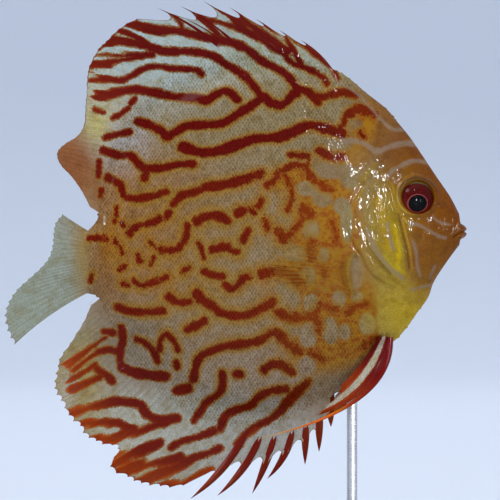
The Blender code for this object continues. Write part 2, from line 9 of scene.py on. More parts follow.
import bpy
import numpy as np
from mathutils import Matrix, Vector


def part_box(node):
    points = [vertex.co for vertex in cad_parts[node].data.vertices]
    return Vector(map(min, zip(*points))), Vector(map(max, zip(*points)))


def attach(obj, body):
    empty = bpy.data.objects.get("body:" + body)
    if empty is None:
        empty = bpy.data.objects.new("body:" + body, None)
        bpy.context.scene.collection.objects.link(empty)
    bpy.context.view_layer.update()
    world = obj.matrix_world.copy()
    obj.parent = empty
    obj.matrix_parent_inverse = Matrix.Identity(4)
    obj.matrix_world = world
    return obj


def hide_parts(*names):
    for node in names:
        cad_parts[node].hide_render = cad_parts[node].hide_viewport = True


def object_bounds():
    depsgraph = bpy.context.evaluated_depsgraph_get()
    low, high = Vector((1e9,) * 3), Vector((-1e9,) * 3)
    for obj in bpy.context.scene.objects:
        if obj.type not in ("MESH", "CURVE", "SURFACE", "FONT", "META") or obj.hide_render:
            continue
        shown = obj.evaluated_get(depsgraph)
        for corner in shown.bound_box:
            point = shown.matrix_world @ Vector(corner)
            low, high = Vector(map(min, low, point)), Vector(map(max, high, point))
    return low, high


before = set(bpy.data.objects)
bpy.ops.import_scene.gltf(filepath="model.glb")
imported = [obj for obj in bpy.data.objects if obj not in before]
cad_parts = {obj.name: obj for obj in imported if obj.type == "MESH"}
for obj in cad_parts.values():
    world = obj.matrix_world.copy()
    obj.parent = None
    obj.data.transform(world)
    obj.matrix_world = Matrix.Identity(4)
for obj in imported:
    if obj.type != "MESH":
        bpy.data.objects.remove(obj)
CAD_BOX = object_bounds()

# Scale and place of the side view
LIP_COLUMN = 467.0
TAIL_COLUMN = 4.0
LOWEST_ROW = 499.0
VIEW_PIXELS = 500.0
PIXEL = (CAD_BOX[1][0] - CAD_BOX[0][0]) / (LIP_COLUMN - TAIL_COLUMN)
MIDDLE_COLUMN = (LIP_COLUMN + TAIL_COLUMN) / 2
FIN_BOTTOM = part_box("anal_fin")[0][2]
MM = 0.001

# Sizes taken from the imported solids
BODY_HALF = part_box("trunk")[1][1]
EYE_RADIUS = (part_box("eye_right")[1][2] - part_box("eye_right")[0][2]) / 2
EDGE_HALF = 0.8 * MM
FLANK_POWER = 0.85

# Sizes of the finer forms
COAT_DEPTH = 0.12 * MM
EYE_DEPTH = 4.6 * MM
EYE_BULGE = 0.9 * MM
WEB_HALF = 0.16 * MM
RAY_HEIGHT = 0.12 * MM
FIN_ROOT_HALF = 0.72 * MM
FIN_ROOT_REACH_PX = 14.0
EASE_PX = 26.0
GAP = 0.3 * MM

# Columns and rows of the main places
STALK_END_COLUMN = 88.0
DORSAL_START_COLUMN = 341.0
DORSAL_END_COLUMN = 98.0
ANAL_START_COLUMN = 336.0
ANAL_END_COLUMN = 98.0
EYE_CENTRE_PX = (417.0, 197.5)
ORBIT_CENTRE_PX = (416.0, 195.5)
ORBIT_RADIUS_PX = 19.3
IRIS_RADIUS_PX = 16.0
PUPIL_CENTRE_PX = (415.8, 204.0)
NOSTRIL_PX = (439.0, 204.0)

# Outline of the body without its fins, from the lips to the root of the tail fin
BACK_PX = [
    (467, 226), (460, 216), (450, 197), (437, 178), (423, 157), (410, 138), (397, 122), (386, 109),
    (367, 94), (342, 74), (310, 62), (280, 57), (245, 59), (210, 69), (175, 86), (145, 110),
    (123, 141), (108, 177), (101, 207), (97, 221), (88, 231),
]
BELLY_PX = [
    (467, 237), (459, 245), (447, 261), (434, 281), (428, 297), (416, 314), (401, 334), (385, 348),
    (368, 366), (352, 382), (335, 393), (315, 405), (290, 415), (255, 421), (225, 417), (190, 403),
    (155, 376), (128, 342), (110, 312), (98, 296), (88, 293),
]
# Thickness of the body along its length, as a share of the greatest
THICKNESS_SHARE = [
    (467, 0.17), (460, 0.29), (450, 0.40), (435, 0.55), (417, 0.70), (400, 0.81), (375, 0.92),
    (345, 0.99), (315, 1.00), (280, 0.97), (240, 0.88), (200, 0.75), (160, 0.58), (130, 0.45),
    (110, 0.36), (98, 0.31), (88, 0.28),
]
# Swellings of the head: column, row, reach in pixels and height
SWELLINGS = [
    (462, 223, 4.5, 0.45 * MM), (461, 239, 4.5, 0.45 * MM), (437, 232, 14, 0.30 * MM),
    (392, 214, 9, 0.15 * MM),
]
# Lines of the head that stand out or sink in
MOUTH_PX = [(470, 231), (462, 231.5), (457, 234), (453, 237)]
JAW_FOLD_PX = [(455, 239), (450, 246), (444, 252)]
GILL_REAR_PX = [
    (373, 180), (362, 187), (352, 204), (345, 219), (347, 231), (353, 244), (361, 257), (366, 268),
    (374, 277), (385, 284), (398, 289),
]
CHEEK_RIDGE_PX = [(384, 181), (390, 192), (393, 205), (398, 218), (403, 228), (408, 239)]
MIDDLE_RIDGE_PX = [(386, 204), (389, 218), (391, 232), (393, 245), (397, 257), (398, 266)]
CHEEK_GROOVE_PX = [(391, 208), (396, 224), (401, 240), (406, 255), (409, 268)]
UPPER_RIDGE_PX = [(352, 177), (364, 183), (367, 190), (372, 196)]
LOOP_RIDGE_PX = [
    (384, 184), (377, 183), (371, 189), (373, 195), (369, 203), (365, 212), (366, 222), (370, 227),
    (376, 226), (375, 216), (370, 204),
]
LOWER_SLIT_PX = [(362, 248), (371, 258), (382, 270), (394, 281), (405, 290)]
PECTORAL_ROOT_PX = [(355, 251), (350, 262), (348, 275), (351, 287), (354, 297)]


def along(column):
    """The place along the fish of a column of the side view."""
    return (np.asarray(column, float) - MIDDLE_COLUMN) * PIXEL


def height(row):
    """The height over the floor of a row of the side view."""
    return FIN_BOTTOM + (LOWEST_ROW - np.asarray(row, float)) * PIXEL


def place(points_px):
    """Points of the side view as x and z."""
    points_px = np.asarray(points_px, float)
    return np.stack([along(points_px[..., 0]), height(points_px[..., 1])], axis=-1)


def pixel_of(points):
    """Columns and rows of points given as x and z."""
    points = np.asarray(points, float)
    columns = points[..., 0] / PIXEL + MIDDLE_COLUMN
    rows = LOWEST_ROW - (points[..., -1] - FIN_BOTTOM) / PIXEL
    return np.stack([columns, rows], axis=-1)


def smooth(points, pieces=8):
    """A smooth line through the given points, with so many pieces between each two."""
    points = np.asarray(points, float)
    ends = [2 * points[0] - points[1], 2 * points[-1] - points[-2]]
    padded = np.vstack([ends[0], points, ends[1]])
    line = []
    for index in range(len(points) - 1):
        before, start, end, after = padded[index:index + 4]
        for t in np.arange(pieces) / pieces:
            line.append(0.5 * (
                2 * start + (end - before) * t
                + (2 * before - 5 * start + 4 * end - after) * t ** 2
                + (3 * start - before - 3 * end + after) * t ** 3
            ))
    line.append(points[-1])
    return np.array(line)


def on_line(line, share):
    """The point at a share of the length of a line."""
    steps = np.linalg.norm(np.diff(line, axis=0), axis=1)
    length = np.concatenate([[0], np.cumsum(steps)])
    where = np.asarray(share) * length[-1]
    return np.stack([np.interp(where, length, line[:, axis]) for axis in (0, 1)], axis=-1)


BACK = smooth(place(BACK_PX))
BELLY = smooth(place(BELLY_PX))
WIDTH = smooth([(along(column), share * BODY_HALF) for column, share in THICKNESS_SHARE])


def read(line, x):
    """The second coordinate of a line that runs from the lips to the tail, at x."""
    return np.interp(x, line[::-1, 0], line[::-1, 1])


def stretch(line, from_column, to_column):
    """The part of a line between two columns, the first nearer to the lips."""
    inside = (line[:, 0] <= along(from_column)) & (line[:, 0] >= along(to_column))
    return line[inside]


def flank(x, z):
    """How far the solid flank lies from the plane of symmetry at a place of the side view."""
    top = read(BACK, x)
    bottom = read(BELLY, x)
    level = np.clip((2 * z - top - bottom) / (top - bottom), -1, 1)
    half = EDGE_HALF + (read(WIDTH, x) - EDGE_HALF) * (1 - level ** 2) ** FLANK_POWER
    for column, row, reach, rise_here in SWELLINGS:
        far = np.hypot(x - along(column), z - height(row)) / (reach * PIXEL)
        half = half + rise_here * np.exp(-far ** 2)
    return half


def flank_normal(x, z, side):
    """The outward direction of the flank on one side."""
    step = 0.5 * MM
    slope_x = (flank(x + step, z) - flank(x - step, z)) / (2 * step)
    slope_z = (flank(x, z + step) - flank(x, z - step)) / (2 * step)
    return Vector((-slope_x, side, -slope_z)).normalized()


def nearest(points_px, line_px, pieces=4):
    """Distance in pixels to a smooth line, the share along it, and the side, + on its left."""
    points = np.asarray(points_px, float)
    line = smooth(line_px, pieces)
    best = np.full(points.shape[:-1], 1e9)
    share = np.zeros(points.shape[:-1])
    sign = np.ones(points.shape[:-1])
    for index in range(len(line) - 1):
        start = line[index]
        step = line[index + 1] - start
        offset = points - start
        t = np.clip(offset @ step / (step @ step), 0, 1)
        distance = np.hypot(offset[..., 0] - t * step[0], offset[..., 1] - t * step[1])
        closer = distance < best
        best = np.where(closer, distance, best)
        share = np.where(closer, (index + t) / (len(line) - 1), share)
        cross = step[0] * offset[..., 1] - step[1] * offset[..., 0]
        sign = np.where(closer, np.where(cross > 0, -1.0, 1.0), sign)
    return best, share, sign


def ramp(value, start, end):
    """A smooth step from nothing at the start to one at the end."""
    t = np.clip((value - start) / (end - start), 0, 1)
    return t * t * (3 - 2 * t)


def hump(distance, width):
    """One at no distance, falling to nothing over the width."""
    return np.exp(-(distance / width) ** 2)


# Dark red bands and spots: half width in pixels, then columns and rows along each
BANDS_PX = [
    (4.5, [(138, 121), (150, 125), (161, 131), (166, 137), (176, 133), (186, 127), (204, 125),
           (223, 124), (241, 113), (258, 101), (264, 97), (270, 103), (281, 106), (288, 102),
           (294, 93)]),
    (5.3, [(184, 148), (200, 153), (216, 152), (236, 146), (256, 140), (276, 138), (294, 132),
           (309, 127), (326, 130), (341, 134)]),
    (4.1, [(104, 151), (119, 156), (130, 156), (138, 163), (147, 172), (145, 179)]),
    (4.1, [(150, 169), (163, 168), (178, 165), (193, 165)]),
    (3.9, [(108, 177), (121, 185), (125, 196), (137, 199), (152, 197), (166, 192)]),
    (3.4, [(290, 155), (307, 157)]),
    (4.4, [(319, 152), (334, 159), (342, 158)]),
    (4.2, [(174, 204), (181, 196), (191, 193), (201, 191)]),
    (5.3, [(205, 188), (221, 186), (240, 181), (260, 175)]),
    (3.3, [(130, 234), (134, 228), (141, 225)]),
    (4.3, [(148, 224), (160, 220)]),
    (4.4, [(168, 217), (170, 213)]),
    (2.9, [(117, 208), (115, 220)]),
    (3.3, [(99, 161), (98, 176)]),
    (3.4, [(102, 190), (101, 196)]),
    (4.8, [(198, 221), (205, 217), (216, 216), (227, 221)]),
    (4.9, [(237, 214), (243, 211)]),
    (3.3, [(258, 206), (262, 200)]),
    (3.6, [(188, 225), (186, 238), (180, 247), (171, 251), (161, 249)]),
    (2.8, [(198, 243), (202, 250), (205, 258)]),
    (3.7, [(244, 241), (248, 231)]),
    (4.4, [(279, 231), (283, 239)]),
    (4.4, [(303, 210), (310, 216)]),
    (3.2, [(88, 238), (97, 238), (107, 239)]),
    (3.0, [(113, 240), (116, 243)]),
    (2.6, [(122, 248), (123, 253)]),
    (3.2, [(138, 255), (140, 261)]),
    (2.4, [(92, 274), (90, 281)]),
    (3.1, [(123, 284), (128, 285)]),
    (3.2, [(134, 281), (142, 286), (154, 282), (168, 277)]),
    (2.8, [(184, 271), (190, 268)]),
    (4.0, [(206, 272), (213, 275), (222, 276)]),
    (4.1, [(225, 285), (233, 288), (242, 279), (247, 276)]),
    (5.1, [(262, 274), (275, 271), (289, 274), (300, 283)]),
    (4.1, [(118, 307), (139, 312), (163, 311)]),
    (4.3, [(169, 297), (178, 301), (189, 301)]),
    (5.3, [(197, 294), (200, 298)]),
    (4.4, [(204, 301), (213, 306), (220, 312), (231, 315), (245, 315), (259, 309), (272, 302)]),
    (4.6, [(278, 312), (289, 317), (301, 318)]),
    (4.3, [(188, 329), (196, 325), (205, 320)]),
    (5.1, [(177, 390), (189, 388)]),
    (4.4, [(194, 379), (197, 363), (203, 354), (222, 346), (240, 344), (257, 341), (275, 331),
           (287, 342), (299, 351)]),
    (4.0, [(194, 420), (200, 411), (207, 402), (220, 392), (223, 378), (223, 372)]),
    (4.3, [(236, 373), (241, 373)]),
    (4.6, [(264, 370), (272, 364), (283, 365), (291, 371)]),
    (3.6, [(360, 133), (363, 138)]),
    (4.2, [(126, 22), (137, 26), (153, 29), (170, 31), (188, 33), (200, 36), (215, 39), (230, 42),
           (242, 47), (250, 52), (260, 60), (272, 67), (283, 73), (290, 80), (295, 88), (297, 96)]),
    (2.6, [(157, 8), (170, 14), (180, 23), (183, 31)]),
    (2.6, [(184, 7), (196, 11), (206, 20), (215, 32), (222, 39)]),
    (2.8, [(206, 2), (220, 9), (232, 17), (241, 29), (252, 36)]),
    (3.2, [(244, 32), (260, 40), (272, 48), (284, 53), (290, 61), (300, 66), (312, 71), (322, 77),
           (327, 84)]),
    (2.8, [(233, 7), (246, 14), (257, 24), (269, 35), (281, 45), (291, 52)]),
    (3.2, [(261, 18), (273, 25), (283, 33), (289, 42), (295, 52), (300, 63)]),
    (2.4, [(281, 31), (295, 38), (305, 45), (317, 56), (326, 64)]),
    (4.2, [(97, 48), (104, 44), (117, 41), (131, 41), (143, 44), (153, 48), (167, 51), (183, 52),
           (200, 53), (215, 57), (227, 65), (240, 72), (248, 79), (255, 88), (261, 98)]),
    (3.6, [(114, 31), (127, 34), (138, 39), (150, 46)]),
    (2.8, [(98, 54), (117, 56), (134, 56), (153, 54)]),
    (3.4, [(92, 66), (108, 62), (125, 60), (143, 57)]),
    (3.2, [(91, 80), (107, 79), (122, 80), (133, 76), (143, 69), (157, 66), (170, 68), (183, 69),
           (196, 71), (202, 75)]),
    (4.4, [(98, 97), (106, 94), (122, 91), (137, 90), (153, 93), (177, 97), (197, 98), (208, 101),
           (217, 95), (227, 92), (237, 100)]),
    (3.0, [(101, 98), (110, 96)]),
    (3.6, [(134, 99), (131, 103)]),
    (3.0, [(128, 108), (119, 115), (113, 118)]),
    (1.6, [(95, 111), (103, 113)]),
    (3.6, [(106, 138), (116, 135), (130, 132)]),
    (4.6, [(297, 90), (306, 92), (314, 97), (318, 103)]),
    (4.4, [(314, 97), (324, 97), (334, 94), (344, 93), (356, 96)]),
    (3.6, [(268, 186), (275, 181), (283, 172), (295, 166), (306, 167)]),
    (3.6, [(306, 168), (311, 178), (319, 185), (330, 190)]),
    (2.6, [(283, 174), (290, 187), (291, 199), (287, 211)]),
    (3.4, [(303, 208), (300, 222), (293, 232), (284, 238)]),
    (2.8, [(250, 209), (253, 213)]),
    (3.2, [(265, 221), (268, 229)]),
    (4.2, [(213, 249), (222, 247), (229, 246)]),
    (3.0, [(231, 250), (238, 252)]),
    (4.2, [(311, 242), (310, 250), (311, 258)]),
    (2.6, [(331, 222), (334, 232), (335, 243)]),
    (3.0, [(322, 267), (325, 275)]),
    (2.6, [(342, 264), (343, 275), (345, 287)]),
    (3.4, [(301, 318), (311, 317), (318, 322), (319, 331)]),
    (3.0, [(311, 316), (320, 305), (328, 306), (336, 309)]),
    (3.2, [(311, 352), (322, 360)]),
    (3.2, [(347, 312), (356, 306), (366, 304)]),
    (3.6, [(364, 345), (371, 339), (380, 337)]),
    (3.4, [(137, 339), (147, 343), (154, 351), (158, 361)]),
    (3.2, [(168, 334), (175, 342), (178, 350)]),
    (3.2, [(160, 349), (161, 341), (165, 335)]),
    (3.8, [(176, 363), (177, 366)]),
    (2.2, [(154, 257), (152, 264)]),
    (1.8, [(151, 242), (155, 246)]),
    (2.2, [(120, 271), (126, 266)]),
    (2.6, [(122, 222), (125, 227)]),
    (3.8, [(104, 332), (112, 333)]),
    (4.4, [(121, 327), (123, 340), (120, 353), (122, 368)]),
    (5.4, [(124, 369), (135, 373), (150, 375), (166, 376)]),
    (4.0, [(98, 352), (108, 350), (118, 352)]),
    (3.8, [(98, 369), (106, 374), (112, 381)]),
    (2.0, [(105, 338), (95, 345), (85, 352), (68, 367)]),
    (2.4, [(101, 351), (88, 358), (74, 371)]),
    (2.4, [(96, 364), (84, 371), (71, 378)]),
    (3.0, [(101, 376), (88, 383), (74, 390)]),
    (4.6, [(72, 415), (84, 410), (98, 405), (112, 401), (127, 402), (140, 405), (148, 415), (158, 420),
           (176, 418)]),
    (3.8, [(77, 427), (87, 423), (100, 423), (114, 422), (124, 425), (133, 429)]),
    (3.4, [(88, 442), (96, 440), (113, 438), (127, 433), (140, 431), (152, 427), (166, 423)]),
    (3.8, [(172, 448), (181, 442), (194, 438), (214, 431)]),
    (4.2, [(112, 464), (123, 458), (131, 453), (146, 447), (160, 443)]),
    (3.8, [(138, 481), (154, 475), (167, 471), (181, 465), (194, 458), (208, 453), (219, 448)]),
    (3.8, [(118, 475), (132, 471), (147, 465), (163, 461), (181, 458)]),
    (3.2, [(152, 489), (165, 487), (181, 484), (197, 476), (211, 469)]),
    (4.4, [(221, 429), (226, 416), (238, 409), (250, 405), (259, 396), (270, 391), (286, 389)]),
    (3.8, [(237, 444), (248, 433), (260, 424), (270, 419), (281, 411)]),
    (5.2, [(282, 410), (290, 400), (298, 391), (307, 382)]),
    (5.0, [(347, 115), (354, 111), (366, 112), (375, 116)]),
    (2.6, [(229, 8), (250, 17), (270, 28), (290, 38), (305, 46), (317, 56), (330, 67), (338, 79)]),
    (3.2, [(210, 3), (227, 11), (243, 22), (263, 33), (287, 49)]),
    (3.0, [(210, 20), (224, 23), (243, 31), (260, 36), (273, 43), (288, 52)]),
    (3.4, [(345, 117), (342, 124), (339, 131)]),
]
# Pale lilac lines of the head and the nape
PALE_LINES_PX = [
    (2.8, [(340, 142), (356, 142), (366, 146), (376, 152), (387, 148), (401, 144), (414, 144)]),
    (1.7, [(381, 120), (388, 127), (395, 130), (403, 130)]),
    (2.1, [(387, 176), (392, 171), (399, 167), (407, 163), (416, 161), (429, 163)]),
    (1.5, [(410, 223), (419, 226), (428, 231), (437, 236), (444, 238)]),
    (0.9, [(431, 217), (438, 222), (449, 225)]),
    (1.5, [(412, 242), (415, 252), (416, 264), (419, 276)]),
    (1.5, [(410, 290), (420, 287), (430, 285)]),
    (0.9, [(434, 266), (431, 273), (429, 279)]),
    (1.9, [(366, 230), (371, 243), (379, 256), (389, 268), (401, 278)]),
    (1.6, [(386, 224), (388, 236), (392, 250)]),
    (1.4, [(333, 80), (345, 86), (357, 94), (365, 103), (374, 112), (379, 120)]),
]
# Coloured streaks of the gill cover: half width in pixels, colour, share, and the line
STREAKS = [
    (3.0, (150, 120, 8), 0.8, [(372, 166), (362, 180), (358, 196)]),
    (4.0, (182, 142, 2), 0.8, [(376, 200), (381, 216), (384, 234), (388, 250)]),
    (2.6, (204, 168, 0), 0.9, [(393, 226), (396, 240), (398, 254), (396, 268)]),
    (2.2, (180, 150, 6), 0.8, [(384, 256), (392, 266), (402, 272)]),
    (1.1, (92, 52, 6), 0.75, [(397, 214), (400, 228), (404, 244), (407, 258), (408, 268)]),
    (1.0, (186, 132, 24), 0.8, [(401, 220), (405, 236), (409, 252), (411, 268)]),
    (1.3, (90, 60, 24), 0.60, [(362, 236), (369, 249), (379, 262), (389, 273)]),
    (1.6, (176, 134, 20), 0.7, [(391, 186), (394, 202), (399, 214), (406, 222)]),
    (3.4, (118, 72, 34), 0.55, [(356, 252), (352, 262), (350, 276), (353, 290)]),
]
# Golden places of the skin: column, row, reach in columns and in rows, and how golden
GOLD_PLACES = [
    (336, 240, 30, 80, 1.0), (308, 262, 34, 58, 0.95), (352, 322, 44, 42, 1.0), (352, 150, 26, 26, 0.45),
    (264, 212, 22, 34, 0.50), (312, 350, 36, 26, 0.80), (262, 288, 24, 20, 0.35), (366, 120, 16, 22, 0.8),
    (150, 250, 46, 34, 0.45), (112, 240, 16, 40, 0.50), (168, 286, 24, 14, 0.40), (318, 196, 24, 18, 0.6),
    (290, 178, 34, 16, 0.80),
]
# Pale spots in them: column, row, half width and half height
PALE_SPOTS_PX = [
    (284, 220, 7, 9), (310, 230, 9, 12), (284, 249, 13, 7), (297, 254, 14, 8), (308, 275, 8, 10),
    (323, 256, 6, 9), (287, 296, 13, 15), (310, 302, 8, 10), (338, 299, 8, 10), (356, 297, 7, 6),
    (288, 330, 12, 7), (308, 336, 9, 14), (330, 330, 9, 15), (344, 331, 6, 9), (366, 324, 9, 12),
    (386, 320, 10, 9), (276, 376, 8, 11), (306, 364, 9, 10), (306, 189, 12, 8), (322, 199, 11, 9),
    (268, 204, 8, 13), (250, 224, 9, 12), (247, 254, 9, 12), (328, 144, 24, 8), (328, 171, 22, 9),
    (348, 178, 10, 12), (335, 105, 15, 7), (357, 125, 6, 5), (345, 222, 7, 22), (340, 206, 8, 9),
    (216, 262, 14, 8), (193, 254, 8, 10), (207, 233, 14, 11), (230, 275, 7, 11), (233, 231, 8, 9),
    (160, 262, 8, 7), (140, 214, 12, 7), (136, 244, 7, 6), (330, 388, 16, 6), (354, 272, 8, 19),
]


def seen(red, green, blue):
    """The base colour of a surface that shows the given colour, from 0 to 255, in this light."""
    share = np.array([red, green, blue], float) / 255
    return np.where(share <= 0.04045, share / 12.92, ((share + 0.055) / 1.055) ** 2.4)


# Soft areas of colour: column, row, reach in columns and in rows, and the colour shown there
GROUND_TONES = [
    (250, 110, 110, 45, seen(139, 121, 86)), (160, 60, 66, 40, seen(168, 182, 178)),
    (100, 112, 24, 30, seen(180, 172, 140)), (122, 136, 22, 26, seen(156, 150, 148)),
    (150, 230, 60, 60, seen(148, 106, 64)), (235, 225, 70, 60, seen(142, 120, 88)),
    (310, 240, 40, 60, seen(152, 128, 86)), (335, 180, 28, 36, seen(130, 104, 72)),
    (250, 300, 90, 45, seen(148, 124, 90)), (225, 365, 90, 40, seen(148, 126, 102)),
    (140, 350, 40, 36, seen(124, 113, 94)), (340, 345, 36, 40, seen(144, 122, 90)),
    (395, 315, 34, 26, seen(186, 154, 34)), (378, 240, 20, 42, seen(158, 126, 16)),
    (394, 250, 8, 26, seen(170, 142, 4)), (352, 222, 12, 40, seen(148, 134, 86)),
    (432, 252, 24, 36, seen(134, 80, 2)), (452, 226, 18, 24, seen(122, 62, 1)),
    (412, 150, 26, 30, seen(124, 66, 0)), (405, 190, 10, 24, seen(136, 90, 4)),
    (374, 120, 18, 26, seen(124, 72, 6)), (150, 430, 80, 40, seen(170, 168, 154)),
    (75, 400, 22, 56, seen(156, 132, 54)), (112, 474, 36, 16, seen(180, 150, 84)),
    (100, 260, 16, 36, seen(136, 88, 34)), (82, 256, 9, 30, seen(148, 116, 20)), (58, 264, 28, 60, seen(148, 156, 138)),
    (98, 124, 10, 13, seen(196, 180, 44)), (74, 165, 16, 34, seen(142, 74, 14)),
    (285, 480, 60, 40, seen(170, 168, 160)), (200, 404, 60, 14, seen(142, 142, 128)),
    (262, 60, 56, 16, seen(156, 162, 144)), (354, 272, 7, 16, seen(148, 112, 84)),
]
BAND_TONES = [
    (200, 110, 120, 40, seen(106, 12, 3)), (260, 140, 100, 30, seen(108, 12, 3)),
    (345, 105, 26, 26, seen(132, 46, 5)), (106, 96, 20, 24, seen(132, 34, 14)),
    (230, 50, 70, 24, seen(100, 10, 6)), (120, 240, 30, 50, seen(118, 24, 3)),
    (220, 215, 90, 40, seen(124, 32, 3)), (310, 210, 40, 50, seen(144, 62, 6)),
    (220, 300, 100, 40, seen(127, 36, 4)), (320, 320, 45, 60, seen(148, 70, 8)),
    (250, 375, 90, 34, seen(112, 26, 4)), (130, 370, 40, 40, seen(104, 20, 6)),
    (165, 445, 90, 40, seen(124, 30, 8)), (75, 385, 26, 40, seen(158, 62, 8)),
    (150, 478, 60, 14, seen(160, 60, 12)),
]
FIELD_ORIGIN = -12.0
FIELD_SIZE = 524
FIELD_FINENESS = 2
FIELD_REACH = 16.0


def distance_field(lines):
    """Signed distance in pixels to the nearest of the lines, on a raster of the side view."""
    count = FIELD_SIZE * FIELD_FINENESS
    field = np.full((count, count), FIELD_REACH)
    for number, (half, points) in enumerate(lines):
        line = smooth(points, 4)
        travelled = np.arange(len(line)) * 0.9 + number
        halves = half * (1 + 0.16 * np.sin(travelled) * np.sin(0.37 * travelled + number))
        for index in range(len(line) - 1):
            start = line[index]
            step = line[index + 1] - start
            low = np.minimum(start, line[index + 1]) - FIELD_REACH
            high = np.maximum(start, line[index + 1]) + FIELD_REACH
            first = np.clip(((low - FIELD_ORIGIN) * FIELD_FINENESS).astype(int), 0, count)
            last = np.clip(((high - FIELD_ORIGIN) * FIELD_FINENESS).astype(int), 0, count)
            columns = np.arange(first[0], last[0]) / FIELD_FINENESS + FIELD_ORIGIN - start[0]
            rows = np.arange(first[1], last[1]) / FIELD_FINENESS + FIELD_ORIGIN - start[1]
            across, down = np.meshgrid(columns, rows)
            t = np.clip((across * step[0] + down * step[1]) / (step @ step), 0, 1)
            distance = np.hypot(across - t * step[0], down - t * step[1])
            distance -= halves[index] + (halves[index + 1] - halves[index]) * t
            window = field[first[1]:last[1], first[0]:last[0]]
            np.minimum(window, distance, out=window)
    return field


def look_up(field, points_px):
    """Values of a field at columns and rows, from the four samples round each."""
    where = (np.asarray(points_px, float) - FIELD_ORIGIN) * FIELD_FINENESS
    where = np.clip(where, 0, len(field) - 1.001)
    column = where[..., 0].astype(int)
    row = where[..., 1].astype(int)
    right = where[..., 0] - column
    down = where[..., 1] - row
    upper = field[row, column] * (1 - right) + field[row, column + 1] * right
    lower = field[row + 1, column] * (1 - right) + field[row + 1, column + 1] * right
    return upper * (1 - down) + lower * down


def tones_at(tones, points_px):
    """The colour of soft areas at columns and rows."""
    points = np.asarray(points_px, float)
    total = np.zeros(points.shape[:-1] + (3,))
    weights = np.full(points.shape[:-1], 1e-9)
    for column, row, reach_across, reach_down, colour in tones:
        across = (points[..., 0] - column) / reach_across
        down = (points[..., 1] - row) / reach_down
        weight = np.exp(-(across ** 2 + down ** 2))
        total += weight[..., None] * colour
        weights += weight
    return total / weights[..., None]


BAND_FIELD = distance_field(BANDS_PX)
LINE_FIELD = distance_field(PALE_LINES_PX)


def wander(points_px, side):
    """Places moved a little, so that the bands waver and the flanks aren't mirror images."""
    points = np.asarray(points_px, float)
    column = points[..., 0]
    row = points[..., 1]
    size = 0.5 if side < 0 else 3.0
    shift = 0.0 if side < 0 else 1.7
    across = np.sin(0.11 * row + 0.05 * column + shift) + 0.4 * np.sin(0.31 * column - 0.2 * row)
    down = np.sin(0.09 * column - 0.06 * row + 2 * shift) + 0.4 * np.sin(0.27 * row + 0.17 * column)
    return points + size * np.stack([across, down], axis=-1)


def streaked(points_px, ground):
    """The ground's colour with the streaks of the gill cover."""
    for width, colour, share, line_px in STREAKS:
        weight = share * hump(nearest(points_px, line_px)[0], width)[..., None]
        ground = ground * (1 - weight) + seen(*colour) * weight
    return ground


def golden(points_px):
    """How golden the skin is at columns and rows, from nothing to one."""
    points = np.asarray(points_px, float)
    plain = np.ones(points.shape[:-1])
    for column, row, across, down, share in GOLD_PLACES:
        far = ((points[..., 0] - column) / across) ** 2 + ((points[..., 1] - row) / down) ** 2
        plain *= 1 - share * np.exp(-far)
    total = 1 - plain
    for column, row, across, down in PALE_SPOTS_PX:
        far = np.hypot((points[..., 0] - column) / across, (points[..., 1] - row) / down)
        total *= 0.12 + 0.88 * ramp(far, 0.55, 1.25)
    return total


def halo_reach(points_px):
    """How far in pixels the golden border of a band reaches, least on the fins."""
    points = np.asarray(points_px, float)
    across = (points[..., 0] - 225) / 130
    down = (points[..., 1] - 262) / 84
    middle = np.exp(-(across ** 2 + down ** 2) ** 2)
    return 1.6 + (3.2 + 7.6 * middle) * (1 - ramp(from_edge(points), -30, 2))


def markings(points_px, side):
    """The values that the skin's finish reads at places of one flank."""
    moved = wander(points_px, side)
    head = ramp(points_px[..., 0], 372, 386)
    return {
        "band": look_up(BAND_FIELD, moved) + 6.0 * head * ramp(points_px[..., 1], 110, 130),
        "pale_line": look_up(LINE_FIELD, points_px),
        "golden": golden(moved) * (1 - head),
        "halo_reach": halo_reach(points_px),
        "ground": tones_at(GROUND_TONES, points_px),
        "band_tone": tones_at(BAND_TONES, points_px),
    }


# Front border of the scales, from the nape to the throat
SCALE_BORDER_PX = [
    (396, 120), (386, 140), (377, 158), (366, 172), (352, 186), (343, 206), (341, 226), (345, 244),
    (352, 256), (362, 270), (374, 284), (392, 296), (412, 303), (432, 306),
]


def edge_distance_field():
    """Distance in pixels to the edge of the body, more than nothing outside it."""
    count = FIELD_SIZE
    rows, columns = np.mgrid[0:count, 0:count] + FIELD_ORIGIN
    points = np.stack([columns, rows], axis=-1)
    distance = np.minimum(nearest(points, BACK_PX, 2)[0], nearest(points, BELLY_PX, 2)[0])
    x = along(columns)
    z = height(rows)
    inside = (z < read(BACK, x)) & (z > read(BELLY, x))
    return np.where(inside, -distance, distance)


EDGE_FIELD = edge_distance_field()


def from_edge(points_px):
    """Distance in pixels from the edge of the body, more than nothing outside it."""
    where = np.clip(np.asarray(points_px, float) - FIELD_ORIGIN, 0, FIELD_SIZE - 1.001)
    return look_up(EDGE_FIELD, where / FIELD_FINENESS + FIELD_ORIGIN)


def behind_border(points_px):
    """How far in pixels a place lies behind the front border of the scales."""
    distance, share, sign = nearest(points_px, SCALE_BORDER_PX, 3)
    return -sign * distance


def line_relief(points_px, line_px, rise_here, width_px, fade=0.12):
    """A ridge or a groove along a line, fading out at both of its ends."""
    distance, share, sign = nearest(points_px, line_px)
    ends = ramp(share, 0, fade) * (1 - ramp(share, 1 - fade, 1))
    return rise_here * hump(distance, width_px) * ends


